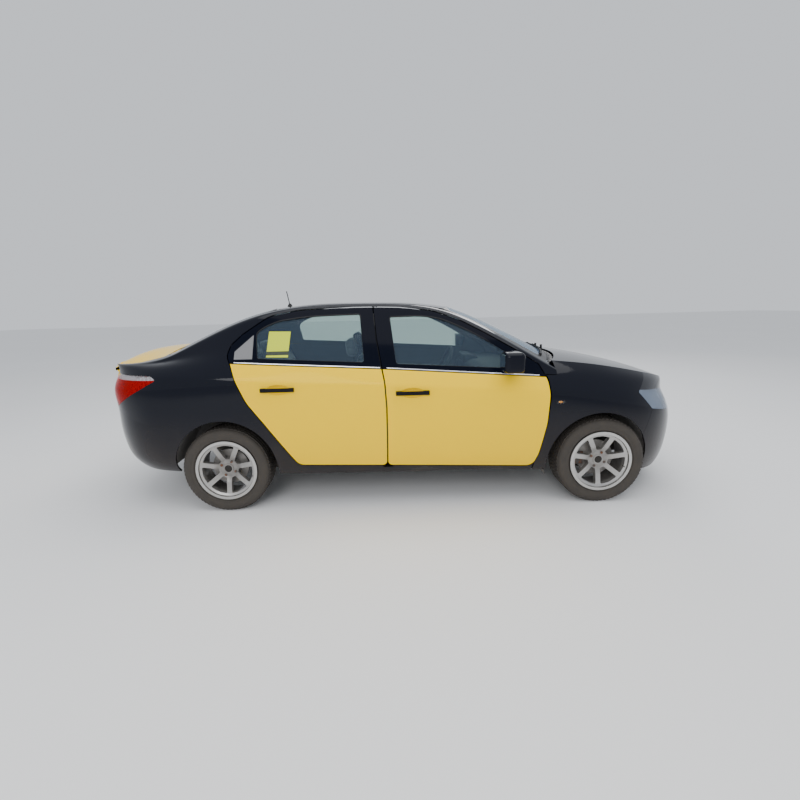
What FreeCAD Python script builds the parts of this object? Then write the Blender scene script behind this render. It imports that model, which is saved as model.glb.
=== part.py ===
"""Four-door saloon taxi with opening doors, bonnet, boot lid and filler flap.

The origin is on the ground under the middle of the car, +X to the front, +Y to
the left, +Z up, in millimetres.  The right side is drawn and the left mirrored.
"""
import FreeCAD
import Part
import math
import os
from FreeCAD import Placement, Rotation, Vector

doc = FreeCAD.newDocument("TaxiSaloon")
sheet = doc.addObject("Spreadsheet::Sheet", "Sizes")

SIZES = {
    "body_length": 4427,
    "body_width": 1748,
    "body_height": 1466,
    "wheelbase": 2652,
    "front_overhang": 805,
    "track_front": 1500,
    "track_rear": 1480,
    "tyre_radius": 308,
    "tyre_width": 195,
    "rim_seat_radius": 204,
    "rim_width": 176,
    "spoke_count": 7,
    "disc_radius": 130,
    "arch_radius": 363,
    "steer_lock": 32,
    "shut_gap": 6,
    "hinge_gap": 10,
    "seat_clearance": 0.3,
    "fender_skin": 8,
    "quarter_wall": 16,
    "bumper_wall": 14,
    "door_skin": 12,
    "door_depth": 72,
    "frame_depth": 34,
    "pillar_start": 84,
    "pillar_end": 120,
    "seal_overlap": 30,
    "panel_inset": 26,
    "rail_top": 34,
    "rail_cap": 70,
    "roof_wall": 24,
    "bonnet_wall": 20,
    "lid_wall": 22,
    "glass_thickness": 5,
    "glass_depth": 9,
    "hinge_back": 66,
    "hinge_inboard": 18,
    "floor_sheet": 14,
    "flap_size": 170,
    "steering_wheel_radius": 183,
}
for row, (alias, value) in enumerate(SIZES.items(), start=1):
    sheet.set(f"A{row}", alias)
    sheet.set(f"B{row}", str(value))
    sheet.setAlias(f"B{row}", alias)
doc.recompute()


def size(name):
    return float(sheet.get(name))


class Curve:
    """Natural cubic spline through (position, value) stations, straight past its ends."""

    def __init__(self, *stations):
        stations = sorted(stations)
        self.x = [s[0] for s in stations]
        self.y = [s[1] for s in stations]
        n = len(self.x)
        h = [self.x[i + 1] - self.x[i] for i in range(n - 1)]
        lower, diagonal, upper, right = [0.0] * n, [1.0] * n, [0.0] * n, [0.0] * n
        for i in range(1, n - 1):
            lower[i], diagonal[i], upper[i] = h[i - 1], 2 * (h[i - 1] + h[i]), h[i]
            right[i] = 6 * ((self.y[i + 1] - self.y[i]) / h[i] - (self.y[i] - self.y[i - 1]) / h[i - 1])
        for i in range(1, n):
            share = lower[i] / diagonal[i - 1]
            diagonal[i] -= share * upper[i - 1]
            right[i] -= share * right[i - 1]
        self.m = [0.0] * n
        for i in range(n - 2, 0, -1):
            self.m[i] = (right[i] - upper[i] * self.m[i + 1]) / diagonal[i]

    def __call__(self, at):
        x, y, m = self.x, self.y, self.m
        last = len(x) - 1
        if at <= x[0]:
            slope = (y[1] - y[0]) / (x[1] - x[0]) - (x[1] - x[0]) * m[1] / 6
            return y[0] + slope * (at - x[0])
        if at >= x[last]:
            h = x[last] - x[last - 1]
            slope = (y[last] - y[last - 1]) / h + h * m[last - 1] / 6
            return y[last] + slope * (at - x[last])
        i = max(k for k in range(last) if x[k] <= at)
        h, a, b = x[i + 1] - x[i], x[i + 1] - at, at - x[i]
        cubic = (m[i] * a ** 3 + m[i + 1] * b ** 3) / (6 * h)
        return cubic + (y[i] / h - m[i] * h / 6) * a + (y[i + 1] / h - m[i + 1] * h / 6) * b


def table(positions, values):
    return Curve(*zip(positions, values))


NOSE = size("body_length") / 2
FRONT_AXLE = NOSE - size("front_overhang")
REAR_AXLE = FRONT_AXLE - size("wheelbase")
HALF = size("body_width") / 2
TYRE = size("tyre_radius")
GAP = size("shut_gap")
SEAT = size("seat_clearance")
ROOF = size("body_height")
CORNER_FRONT = FRONT_AXLE + 91.5
CORNER_REAR = REAR_AXLE - 306.5

BONNET_LINE = Curve(
    (1200, 1036), (1345, 1021), (1533, 992), (1722, 953), (1912, 903), (2030, 858), (2095, 822), (2140, 786))
DECK_LINE = Curve((-2130, 1098), (-2050, 1126), (-1950, 1139), (-1850, 1146), (-1745, 1152), (-1600, 1158))
ROOF_LINE = Curve(
    (-1800, ROOF - 347), (-1720, ROOF - 311), (-1550, ROOF - 232), (-1350, ROOF - 144), (-1150, ROOF - 74),
    (-1000, ROOF - 38), (-850, ROOF - 17), (-650, ROOF - 3), (-400, ROOF), (-200, ROOF - 2), (0, ROOF - 7),
    (150, ROOF - 14), (300, ROOF - 29), (400, ROOF - 48), (500, ROOF - 78), (670, ROOF - 152),
    (850, ROOF - 240), (1030, ROOF - 333), (1210, ROOF - 428))
SCREEN_BOW = 0.00034
BACKLIGHT_BOW = 0.00030
LID_BOW = 0.00016
BONNET_BOW = 0.00010
ROOF_CROWN = 0.000045
BONNET_CROWN = 0.000050
DECK_CROWN = 0.00020


def clamp(value):
    return min(1.0, max(0.0, value))


def bow(x):
    """How far a feature of the roof line at x leans back (front) or forward (rear) with y squared."""
    return -SCREEN_BOW * clamp((x + 300) / 600) + BACKLIGHT_BOW * clamp((-400 - x) / 500)


def cabin_top(x, y):
    return ROOF_LINE(x - bow(x) * y * y) - ROOF_CROWN * y * y


def bonnet_top(x, y):
    return BONNET_LINE(x + BONNET_BOW * y * y) - BONNET_CROWN * y * y


def deck_top(x, y):
    return DECK_LINE(x) - deck_crown(x) * y * y


def shut_height(x, y):
    return bonnet_top(x, y) if x > 0 else deck_top(x, y)


class Row:
    """One feature line round the car: its height, its half width and its corners in plan."""

    LONG = (-2200, -1640, -1100, -100, 1000, 1660, 2200)
    WIDE = (CORNER_REAR, -1100, -100, 1000, CORNER_FRONT)

    def __init__(self, heights, widths, nose, nose_round, tail, tail_round):
        self.height = table(self.LONG, heights) if heights else None
        self.width = table(self.WIDE, [w + HALF - 874 for w in widths])
        self.nose, self.nose_round = nose + NOSE - 2213.5, nose_round
        self.tail, self.tail_round = tail - NOSE + 2213.5, tail_round

    def plan(self, kind, value):
        if kind == "side":
            return value, self.width(value)
        front = kind == "nose"
        corner, end = (CORNER_FRONT, self.nose) if front else (CORNER_REAR, self.tail)
        power = self.nose_round if front else self.tail_round
        angle = math.radians(value)
        along = abs(math.cos(angle)) ** (2 / power)
        return corner + (end - corner) * along, self.width(corner) * abs(math.sin(angle)) ** (2 / power)

    def tail_at(self, y):
        share = min(0.985, abs(y) / self.width(CORNER_REAR))
        return CORNER_REAR + (self.tail - CORNER_REAR) * (1
            - share ** self.tail_round) ** (1 / self.tail_round)

    def level(self, x, y):
        return self.height(x) if self.height else shut_height(x, y)

    def point(self, kind, value, hand=-1):
        x, y = self.plan(kind, value)
        return Vector(x, hand * y, self.level(x, y))


ROWS = {
    "lip": Row((300, 285, 266, 254, 238, 192, 190), (765, 786, 790, 788, 770), 2150, 2.3, -2120, 2.5),
    "sill": Row((365, 340, 330, 318, 295, 265, 260), (826, 838, 838, 836, 826), 2182, 2.2, -2176, 2.5),
    "flank": Row((460, 450, 450, 440, 430, 400, 390), (852, 858, 860, 858, 852), 2210, 2.15, -2208, 2.5),
    "hip": Row((620, 600, 595, 590, 585, 575, 570), (866, 869, 870, 869, 864), 2219.5, 2.13, -2222, 2.53),
    "waist": Row((755, 740, 730, 710, 700, 672, 655), (870, 873, 874, 872, 862), 2196, 2.05, -2205, 2.58),
    "upper": Row((885, 880, 855, 815, 775, 738, 705), (868, 871, 872, 870, 854), 2168, 2.0, -2184, 3.1),
    "crease": Row((972, 976, 954, 899, 826, 780, 738), (858, 866, 870, 866, 846), 2154, 1.95, -2163, 2.75),
    "crest": Row((996, 1001, 979, 923, 848, 799, 755), (849, 857, 862, 859, 838), 2149, 1.95, -2156, 2.6),
    "belt": Row((1040, 1062, 1070, 1013, 930, 868, 775), (788, 806, 814, 812, 800), 2142, 2.1, -2146, 3.2),
    "shoulder": Row((1058, 1082, 1090, 1050, 985, 908, 790), (705, 730, 750, 762, 752), 2135, 2.3, -2138,
        4.5),
    "shut": Row(None, (600, 640, 690, 706, 703), 2128, 2.5, -2126, 8),
}
OUTLINE_ROWS = list(ROWS)
GLASS_LINE = ROWS["belt"].height
WAIST_PLAN = Curve((1100, 806), (700, 812), (0, 814), (-700, 810), (-1100, 797), (-1400, 756), (-1700, 698))


def cabin_side(x, z):
    """Half width of the glazed side at height z."""
    rise = z - GLASS_LINE(x)
    return WAIST_PLAN(x) + HALF - 874 - 0.44 * rise - 0.00020 * rise * rise


def roof_edge(x):
    """Half width and height where the glazed side meets the top."""
    y = 600.0
    for _ in range(30):
        z = cabin_top(x, y)
        y += 0.6 * (cabin_side(x, z) - y)
    return y, z


def seam(x):
    return roof_edge(x)[0] - size("rail_cap")


def deck_crown(x):
    return DECK_CROWN * (0.5 + 0.55 * clamp((-1640 - x) / 210) + 0.15 * clamp((-1850 - x) / 150))


SIDE_ROWS = ("lip", "sill", "flank", "hip", "waist", "upper", "crease", "crest", "belt")
UPPER_SHARES = (0.30, 0.62, 0.88)


def glazed_rows(x, depth):
    """Points above the belt at x: window plane, roof edge and the cap up to the seam."""
    base = ROWS["belt"].level(x, 0)
    y_edge, z_edge = roof_edge(x)
    cap, drop = size("rail_cap"), min(depth, size("rail_top"))
    points = []
    for share, follow in zip(UPPER_SHARES, (0.85, 0.72, 0.60)):
        z = base + (z_edge - base) * share
        points.append(Vector(x, -cabin_side(x, z) + depth * follow, z))
    points.append(Vector(x, -y_edge + 0.02 * cap + 0.45 * depth, z_edge - 0.02 * cap - drop))
    for share, follow in ((0.45, 0.2), (1.0, 0.0)):
        y = y_edge - share * cap
        points.append(Vector(x, -y + depth * follow, cabin_top(x, y) - drop))
    return points


def shoulder_rows(kind, value, depth):
    """Points from the belt to the boot shut line round the tail."""
    low, middle, high = (ROWS[r].point(kind, value) for r in ("belt", "shoulder", "shut"))
    points = []
    for share in (0.17, 0.34, 0.5, 0.66, 0.83, 1.0):
        a, b, c = (1 - share) ** 2, 2 * share * (1 - share), share ** 2
        hub = middle * 2 - (low + high) * 0.5
        points.append(low * a + hub * b + high * c)
    return points


def section(kind, value, depth):
    """Poles of the body side at one plan station, moved inwards by depth."""
    points = [ROWS[r].point(kind, value) for r in SIDE_ROWS]
    x = points[4].x
    if kind == "side" or value > 80:
        points = [p + Vector(0, depth, 0) for p in points]
        return points + glazed_rows(x, depth)
    points = points + shoulder_rows(kind, value, depth)
    angle = math.radians(value)
    shift = Vector(depth * math.cos(angle) ** 0.7, depth * math.sin(angle) ** 0.7, 0)
    down = [0] * len(SIDE_ROWS) + [0, 0.1, 0.25, 0.5, 0.8, 1]
    return [p + shift * (1 - d) - Vector(0, 0, depth * d) for p, d in zip(points, down)]


def skin(poles):
    """Cubic surface drawn by a grid of poles."""
    def knots(count):
        return list(range(count - 2)), [4] + [1] * (count - 4) + [4]
    u, um = knots(len(poles))
    v, vm = knots(len(poles[0]))
    made = Part.BSplineSurface()
    made.buildFromPolesMultsKnots(poles, um, vm, u, v, False, False, 3, 3)
    return made


def slab(outer, inner):
    """Closed solid between two grids of poles."""
    a, b = skin(outer), skin(inner)
    faces = [a.toShape(), b.toShape()]
    u0, u1, v0, v1 = a.bounds()
    edges = ((a.uIso(u0), b.uIso(u0)), (a.uIso(u1), b.uIso(u1)), (a.vIso(v0), b.vIso(v0)), (a.vIso(v1),
        b.vIso(v1)))
    for one, two in edges:
        faces.append(Part.makeRuledSurface(one.toShape(), two.toShape()))
    shell = Part.makeShell(faces)
    shell.sewShape()
    solid = Part.makeSolid(shell)
    if solid.Volume < 0:
        solid.reverse()
    return solid


def inward(points, depth):
    """The same grid moved along its normals towards the middle of the car."""
    def normal(i, j):
        a = points[min(i + 1, len(points) - 1)][j] - points[max(i - 1, 0)][j]
        b = points[i][min(j + 1, len(points[i]) - 1)] - points[i][max(j - 1, 0)]
        n = a.cross(b)
        n.normalize()
        return n

    i, j = len(points) // 3, len(points[0]) // 2
    side = 1 if normal(i, j).dot(Vector(0, 0, 600) - points[i][j]) > 0 else -1
    moved = []
    for i, line in enumerate(points):
        down = (0.45, 1.0)[i - len(points)] if i >= len(points) - 2 else 0.0
        shift = [normal(i, j) * (side * (1 - down)) - Vector(0, 0, down) for j in range(len(line))]
        moved.append([p + s * depth for p, s in zip(line, shift)])
    return moved


def wrap(rows, columns, start, end):
    """Slab of the outer skin between two depths, over the named rows and plan stations."""
    points = [[ROWS[r].point(*c) for c in columns] for r in rows]
    return slab(inward(points, start), inward(points, end))


def side_slab(columns, start, end):
    """Slab of the body side; end may be a depth for each column."""
    ends = end if isinstance(end, (list, tuple)) else [end] * len(columns)
    outer = [section(k, v, start) for k, v in columns]
    return slab(outer, [section(k, v, d) for (k, v), d in zip(columns, ends)])


def top_slab(stations, across, height, start, end, limit=None):
    """Slab of a top surface: stations along the centre line, shares of the half width across it."""
    def build(drop):
        lines = []
        for x in stations:
            line = []
            for share in across:
                y = share * (limit(x) if limit else 1)
                line.append(height(x, y) - Vector(0, 0, drop))
            lines.append(line)
        return lines
    return slab(build(start), build(end))


def closed_wire(points, level, plane):
    """Closed outline of straight runs with rounded corners; a point is (a, b) or (a, b, radius)."""
    flat = [(Vector(p[0], p[1], 0), p[2] if len(p) > 2 else 0.0) for p in points]
    count = len(flat)
    edges, ends = [], []
    for i, (p, radius) in enumerate(flat):
        before, after = flat[i - 1][0] - p, flat[(i + 1) % count][0] - p
        turn = math.pi - before.getAngle(after)
        reach = min(radius * math.tan(turn / 2), 0.49 * before.Length, 0.49 * after.Length)
        if reach < 0.05:
            ends.append((p, None, p))
            continue
        before.normalize()
        after.normalize()
        start, end = p + before * reach, p + after * reach
        true_radius = reach / math.tan(turn / 2)
        middle = before + after
        middle.normalize()
        mid = p + middle * (true_radius / math.cos(turn / 2) - true_radius)
        ends.append((start, mid, end))

    def place(v):
        return Vector(v.x, level, v.y) if plane == "xz" else Vector(v.x, v.y, level)

    for i, (start, mid, end) in enumerate(ends):
        if mid is not None:
            edges.append(Part.Arc(place(start), place(mid), place(end)).toShape())
        following = ends[(i + 1) % count][0]
        if (following - end).Length > 0.01:
            edges.append(Part.LineSegment(place(end), place(following)).toShape())
    return Part.Wire(edges)


def prism(points, low, high, plane="xz"):
    face = Part.Face(closed_wire(points, low, plane))
    length = high - low
    return face.extrude(Vector(0, length, 0) if plane == "xz" else Vector(0, 0, length))


def inset(points, distance):
    """Outline moved inwards by distance, or outwards where it is negative."""
    area = sum(p[0] * q[1] - q[0] * p[1] for p, q in zip(points, points[1:] + points[:1]))
    side = 1 if area > 0 else -1
    result = []
    for i, p in enumerate(points):
        a, b = points[i - 1], points[(i + 1) % len(points)]
        d1 = Vector(p[0] - a[0], p[1] - a[1], 0)
        d2 = Vector(b[0] - p[0], b[1] - p[1], 0)
        d1.normalize()
        d2.normalize()
        n1, n2 = Vector(-d1.y, d1.x, 0) * side, Vector(-d2.y, d2.x, 0) * side
        corner = n1 + n2
        corner = corner * (2 * distance / corner.dot(corner))
        convex = (d1.x * d2.y - d1.y * d2.x) * side > 0
        radius = p[2] if len(p) > 2 else 0
        if radius:
            radius = max(1.0, radius - distance if convex else radius + distance)
        result.append((p[0] + corner.x, p[1] + corner.y, radius))
    return result


def box(x0, x1, y0, y1, z0, z1):
    return Part.makeBox(x1 - x0, y1 - y0, z1 - z0, Vector(x0, y0, z0))


def tube(centre, axis, radius, length, bore=0.0):
    made = Part.makeCylinder(radius, length, centre, axis)
    return made.cut(Part.makeCylinder(bore, length, centre, axis)) if bore else made


def mirrored(shape):
    return shape.mirror(Vector(0, 0, 0), Vector(0, 1, 0))


def joined(*shapes):
    """One solid of pieces that meet; each of them has to add to it."""
    made = shapes[0].multiFuse(list(shapes[1:])).removeSplitter()
    if made.Volume < max(s.Volume for s in shapes) + 100:
        raise RuntimeError("a piece was lost in a union")
    return made


NODES = []


def node(label, shape):
    """A sub-part made from calculated skins."""
    made = doc.addObject("Part::Feature", label)
    made.Label = label
    made.Shape = shape
    NODES.append(made)
    return made


def pair(label, shape):
    node(label + "_right", shape)
    node(label + "_left", mirrored(shape))


def bind(made, **sizes):
    for name, expression in sizes.items():
        made.setExpression(name, expression)
    return made


Y_OUT, Y_IN = -1100, 0
ROUND = (90, 75, 62, 50, 38, 25, 12)
WING_COLUMNS = [("side", x) for x in (940, 1080, 1220, 1380)] + [("nose", t) for t in ROUND + (0,)]
QUARTER_COLUMNS = [("side", x) for x in (-1300, -1420)] + [("tail", t) for t in ROUND + (0,)]


def both_hands(columns):
    return columns + [(kind, value, 1) for kind, value in reversed(columns[:-1])]


FRONT_COLUMNS = both_hands(WING_COLUMNS)
REAR_COLUMNS = both_hands(QUARTER_COLUMNS)
DOOR_STATIONS = [("side", x) for x in (1080, 960, 800, 620, 440, 250, 0, -250, -500, -750, -950, -1090,
    -1200, -1300)]
BODY_STATIONS = DOOR_STATIONS + [("side", -1420)] + [("tail", t) for t in (90, 83, 75, 62, 50, 38, 25, 12, 0)]

# Shut lines of the doors in side view: corner x, corner z, corner radius.
B_LINE = [(-94, 321), (-92, 420), (-90, 565), (-90, 755), (-99, 914), (-119, 1020), (-150, 1200)]


def under_edge(x, margin=30):
    return roof_edge(x)[1] - margin


front_door = [
    (B_LINE[0][0], 321, 30), (925, 284, 60), (960, 383, 150), (1003, 604, 400), (1016, 800, 250),
    (1008, 905, 120), (958, under_edge(958, 38), 25), (800, under_edge(800), 500), (600, under_edge(600),
        600),
    (430, under_edge(430), 500), (250, under_edge(250), 400), (60, under_edge(60), 600),
    (-172, under_edge(-172), 12)] + [(x, z, 300) for x, z in reversed(B_LINE[1:])]
rear_front_edge = [(x - size("hinge_gap"), z) for x, z in B_LINE]
rear_door = [
    (rear_front_edge[0][0], 321, 30)] + [(x, z, 300) for x, z in rear_front_edge[1:]] + [
    (-180, under_edge(-180), 12), (-420, under_edge(-420), 800), (-700, under_edge(-700), 600),
    (-905, 1372, 200), (-1080, 1256, 120), (-1156, 1187, 60), (-1180, 1118, 60), (-1150, 1060, 60),
    (-1126, 1000, 120), (-1096, 925, 200), (-1044, 806, 300), (-939, 661, 300), (-720, 342, 70)]
front_window = [
    (-24, 1036, 20), (-60, 1348, 16), (162, 1350, 600), (293, 1330, 300), (445, 1265, 400), (589, 1187, 500),
    (742, 1094, 12), (735, 985, 30)]
rear_window_outline = [
    (-240, 1050, 20), (-972, 1094, 15), (-990, 1262, 40), (-925, 1304, 120), (-834, 1340, 200), (-630, 1366,
        500),
    (-268, 1372, 16)]
quarter_trim = [(-1002, 1096, 8), (-1110, 1104, 14), (-1126, 1150, 20), (-1012, 1244, 12)]


def belt_slab(start, end):
    """Slab of the doors' sides from the lip up to the glass line."""
    count = len(SIDE_ROWS)
    return slab(*[[section(k, v, depth)[:count] for k, v in DOOR_STATIONS] for depth in (start, end)])


def door_solid(outline, window):
    """Pressed skin with a hem flange, a deep inner box below the glass and a slim frame round it."""
    skin, deep = size("door_skin"), size("door_depth")
    shell = side_slab(DOOR_STATIONS, 0, skin + 1).common(prism(outline, Y_OUT, Y_IN))
    inner = inset(outline, size("panel_inset"))
    lower = [(-2000, 0), (2000, 0), (2000, GLASS_LINE(1000) - 8), (1000, GLASS_LINE(1000) - 8),
             (-100, GLASS_LINE(-100) - 8), (-1100, GLASS_LINE(-1100) - 8), (-2000, GLASS_LINE(-1100) - 8)]
    lower = prism(lower, Y_OUT, Y_IN)
    panel = belt_slab(skin / 2, deep).common(prism(inner, Y_OUT, Y_IN)).common(lower)
    frame = side_slab(DOOR_STATIONS, skin, size("frame_depth")).common(prism(inset(outline, 12), Y_OUT, Y_IN))
    frame = frame.cut(lower)
    return joined(joined(shell, panel), frame).cut(prism(window, Y_OUT, Y_IN))


def door_glass(window):
    start = size("glass_depth")
    pane = side_slab(DOOR_STATIONS, start, start + size("glass_thickness"))
    return pane.common(prism(inset(window, SEAT), Y_OUT, Y_IN))


def handle_recess(x, z):
    skin_y = -ROWS["upper"].width(x)
    recess = Part.makeSphere(60, Vector(0, 0, 0))
    stretch = FreeCAD.Matrix()
    stretch.scale(1.35, 0.50, 0.62)
    recess = recess.transformGeometry(stretch)
    recess.translate(Vector(x, skin_y - 7, z))
    return recess


def handle_bar(x, z):
    """Grip bar bridging the recess, with its feet just off the skin."""
    skin_y = -ROWS["upper"].width(x)
    grip = box(x - 112, x + 112, skin_y - 22, skin_y - 10, z - 13, z + 13)
    feet = [box(x + s - 17, x + s + 17, skin_y - 15, skin_y + 12, z - 13, z + 13) for s in (-95, 95)]
    bar = joined(grip, *feet).cut(side_slab(DOOR_STATIONS, -SEAT, 40))
    long_edges = [e for e in bar.Edges if abs(e.tangentAt(e.FirstParameter).x) > 0.99]
    return bar.makeFillet(4, [e for e in long_edges if e.CenterOfMass.y < skin_y - 21])


for name, outline, window, grip in (
    ("front", front_door, front_window, (82, 846)), ("rear", rear_door, rear_window_outline, (-828, 890)),
):
    door = door_solid(outline, window).cut(handle_recess(*grip))
    pieces = [door, handle_bar(*grip)]
    if name == "rear":
        pocket = side_slab(DOOR_STATIONS, -5, 6).common(prism(inset(quarter_trim, -SEAT), Y_OUT, Y_IN))
        trim = side_slab(DOOR_STATIONS, 0, 6 - SEAT).common(prism(quarter_trim, Y_OUT, Y_IN))
        pieces = [door.cut(pocket), handle_bar(*grip), trim]
    pair(f"{name}_door", Part.makeCompound(pieces))
    pair(f"{name}_door_glass", door_glass(window))

LID_FRONT = -1748
LID_HALF = ROWS["shut"].width(CORNER_REAR) - 2 * GAP
LID_Y = [LID_HALF * s for s in (-1, -0.85, -0.6, -0.3, 0, 0.3, 0.6, 0.85, 1)]
LID_EDGE_Y = [LID_HALF * s for s in (-1, -0.7, -0.35, 0, 0.35, 0.7, 1)]
LID_PLAN = [(LID_FRONT + LID_BOW * y * y, y, 900 if abs(y) < 500 else 40) for y in LID_EDGE_Y]
LID_PLAN = LID_PLAN + [(-2400, LID_HALF), (-2400, -LID_HALF)]

# Body sides: sill, pillars, roof rail, rear quarter.
pillar_start, pillar_end = size("pillar_start"), size("pillar_end")
depths = [pillar_end if v > -1250 else 26 for k, v in BODY_STATIONS if k == "side"]
depths += [size("quarter_wall")] * (len(BODY_STATIONS) - len(depths))
side = side_slab(BODY_STATIONS, 0, depths)
recess = side_slab(DOOR_STATIONS, -30, pillar_start)
for outline in (front_door, rear_door):
    side = side.cut(recess.common(prism(inset(outline, -GAP - 1), Y_OUT, Y_IN)))
    side = side.cut(prism(inset(outline, size("seal_overlap")), Y_OUT, Y_IN))
BUFFERS = (
    (front_door, (-130, 0), ((500, 560), (720, 780))),
    (rear_door, (-1110, -880), ((560, 620), (800, 860))),
)
for outline, (rear, front), bands in BUFFERS:
    ring = prism(inset(outline, 16), Y_OUT, Y_IN).cut(prism(inset(outline, 44), Y_OUT, Y_IN))
    rubber = belt_slab(size("door_depth") + SEAT, pillar_start + 20).common(ring)
    for low, high in bands:
        side = joined(side, rubber.common(box(rear, front, Y_OUT, Y_IN, low, high)))
between = [(-60, 300), (-60, 1360), (-160, 1360), (-200, 1300), (-130, 300)]
side = side.cut(recess.common(prism(between, Y_OUT, Y_IN)))
PILLAR_FOOT = [(1004, GLASS_LINE(1004) + 10), (1083, GLASS_LINE(1083) + 10)]
fender_foot = [(930, 0), (960, 383), (1003, 604), (1016, 800)] + PILLAR_FOOT + [(1500, GLASS_LINE(1083)
    + 10), (1500, 0)]
side = side.cut(side_slab(DOOR_STATIONS, -30, 24).common(prism(fender_foot, Y_OUT, Y_IN)))
side = side.cut(box(1040, 1200, -1000, 0, 0, 925))
side = side.cut(prism([(930, 0), (930, 284), (962, 383), (1100, 383), (1100, 0)], Y_OUT, -775))
FRONT_ARCH = Vector(FRONT_AXLE - 22, 0, TYRE - 2)
REAR_ARCH = Vector(REAR_AXLE + 8, 0, TYRE + 10)


def arch_cutter(centre, radius):
    return Part.makeCylinder(radius, 1100, centre, Vector(0, -1, 0))


side = side.cut(arch_cutter(FRONT_ARCH, size("arch_radius") + 14)).cut(arch_cutter(REAR_ARCH,
    size("arch_radius")))
BUMPER_SEAM_REAR = [(-1400, 0), (-1520, 652), (-1750, 664), (-1900, 702), (-2050, 764), (-2400, 764), (-2400,
    0)]
TAIL_LAMP = [(-1648, 972, 8), (-1690, 1003, 20), (-2400, 1003), (-2400, 766), (-2030, 766, 60), (-1860, 862,
    200)]
side = side.cut(prism(inset(BUMPER_SEAM_REAR, -SEAT), Y_OUT, 10))
side = side.cut(prism(inset(TAIL_LAMP, -1), Y_OUT, -559))
side = side.cut(box(-2400, -1900, -594, 10, 0, 1300)).cut(prism(inset(LID_PLAN, -GAP), 1000, 1300, "xy"))
side_right = max(side.Solids, key=lambda s: s.Volume)
FLAP_AT = (-1560, 868)
half_flap = size("flap_size") / 2
flap_outline = [(FLAP_AT[0] + a * half_flap, FLAP_AT[1] + b * half_flap, 45) for a, b in ((-1, -1), (1, -1),
    (1, 1), (-1, 1))]
flap_pocket = side_slab(BODY_STATIONS, -10, 12).common(prism(inset(flap_outline, -GAP), Y_OUT, Y_IN))
flap_stop = side_slab(BODY_STATIONS, 5 + SEAT, 30).common(box(-1632, -1606, Y_OUT, Y_IN, 850, 886))
flap_pocket = flap_pocket.cut(flap_stop)
QUARTER = [(-2400, 0), (-730, 0), (-730, 600), (-985, 1180), (-985, 1600), (-2400, 1600)]
quarter = side_right.common(prism(QUARTER, Y_OUT, 10))
pair("body_side", side_right.cut(prism(inset(QUARTER, -SEAT), Y_OUT, 10)))
node("quarter_panel_right", quarter)
node("quarter_panel_left", mirrored(quarter.cut(flap_pocket)))
flap = side_slab(BODY_STATIONS, 0, 5).common(prism(flap_outline, Y_OUT, Y_IN))
node("fuel_flap", mirrored(flap))

# Roof, windscreen and rear window share one top surface.
ACROSS = (-1, -0.8, -0.55, -0.28, 0, 0.28, 0.55, 0.8, 1)
HEADER, SCREEN_BASE = 425, 1212
BACK_HEADER, BACK_BASE = -965, -1700


def top_point(x_centre, y):
    x = x_centre + (bow(x_centre)) * y * y
    return Vector(x, y, ROOF_LINE(x_centre) - ROOF_CROWN * y * y)


def seam_at(x_centre, clearance):
    y = 550.0
    for _ in range(12):
        y = seam(x_centre + bow(x_centre) * y * y) - clearance
    return y


def span(start, end, count):
    return [start + (end - start) * i / (count - 1) for i in range(count)]


def top_piece(start, end, count, thickness, clearance):
    return top_slab(span(start, end, count), ACROSS, top_point, 0, thickness, lambda x: seam_at(x, clearance))


node("roof_panel", top_piece(HEADER, BACK_HEADER, 9, size("roof_wall"), SEAT))
node("windscreen", top_piece(HEADER + 3, SCREEN_BASE, 6, size("glass_thickness") / 0.8, 1.0))
node("rear_window", top_piece(BACK_HEADER - 3, BACK_BASE, 6, size("glass_thickness") / 0.85, 1.0))

# Bonnet.
BONNET_REAR = 1290
BONNET_REAR_BOW = 0.00043


def shut_plan(gap):
    """Poles of the bonnet's shut line in plan, from the right rear corner round the nose to the left."""
    half = [ROWS["shut"].plan(*c) for c in WING_COLUMNS]
    right = []
    for i, (x, y) in enumerate(half):
        x0, y0 = half[max(i - 1, 0)]
        x1, y1 = half[min(i + 1, len(half) - 1)]
        run = math.hypot(x1 - x0, y1 - y0)
        right.append((x + gap * (y1 - y0) / run, -(y - gap * (x1 - x0) / run)))
    right[-1] = (half[-1][0] - gap, 0.0)
    return right + [(x, -y) for x, y in reversed(right[:-1])]


def drawn_by_poles(points, level):
    """Cubic edge with the same knots as the skin."""
    knots, mults = list(range(len(points) - 2)), [4] + [1] * (len(points) - 4) + [4]
    made = Part.BSplineCurve()
    made.buildFromPolesMultsKnots([Vector(x, y, level) for x, y in points], mults, knots, False, 3)
    return made.toShape()


def bonnet_prism(gap, rear_gap, low, high):
    poles = shut_plan(gap)
    ends = Part.LineSegment(Vector(*poles[-1], low), Vector(*poles[0], low)).toShape()
    nose = Part.Face(Part.Wire([drawn_by_poles(poles, low), ends])).extrude(Vector(0, 0, high - low))
    rear = [(BONNET_REAR - rear_gap - BONNET_REAR_BOW * y * y, y, 3000) for y in span(-780, 780, 9)]
    return nose.common(prism(rear + [(2400, 780), (2400, -780)], low, high, "xy"))


def bonnet_point(x, y):
    return Vector(x, y, bonnet_top(x, y))


BONNET_X = (1040, 1150, 1280, 1420, 1580, 1740, 1880, 1990, 2070, 2110, 2150)
BONNET_Y = (-760, -640, -480, -240, 0, 240, 480, 640, 760)
bonnet_skin = top_slab(BONNET_X, BONNET_Y, bonnet_point, 0, size("bonnet_wall"))
node("bonnet", bonnet_skin.common(bonnet_prism(GAP, 0, 600, 1200)))

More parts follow.
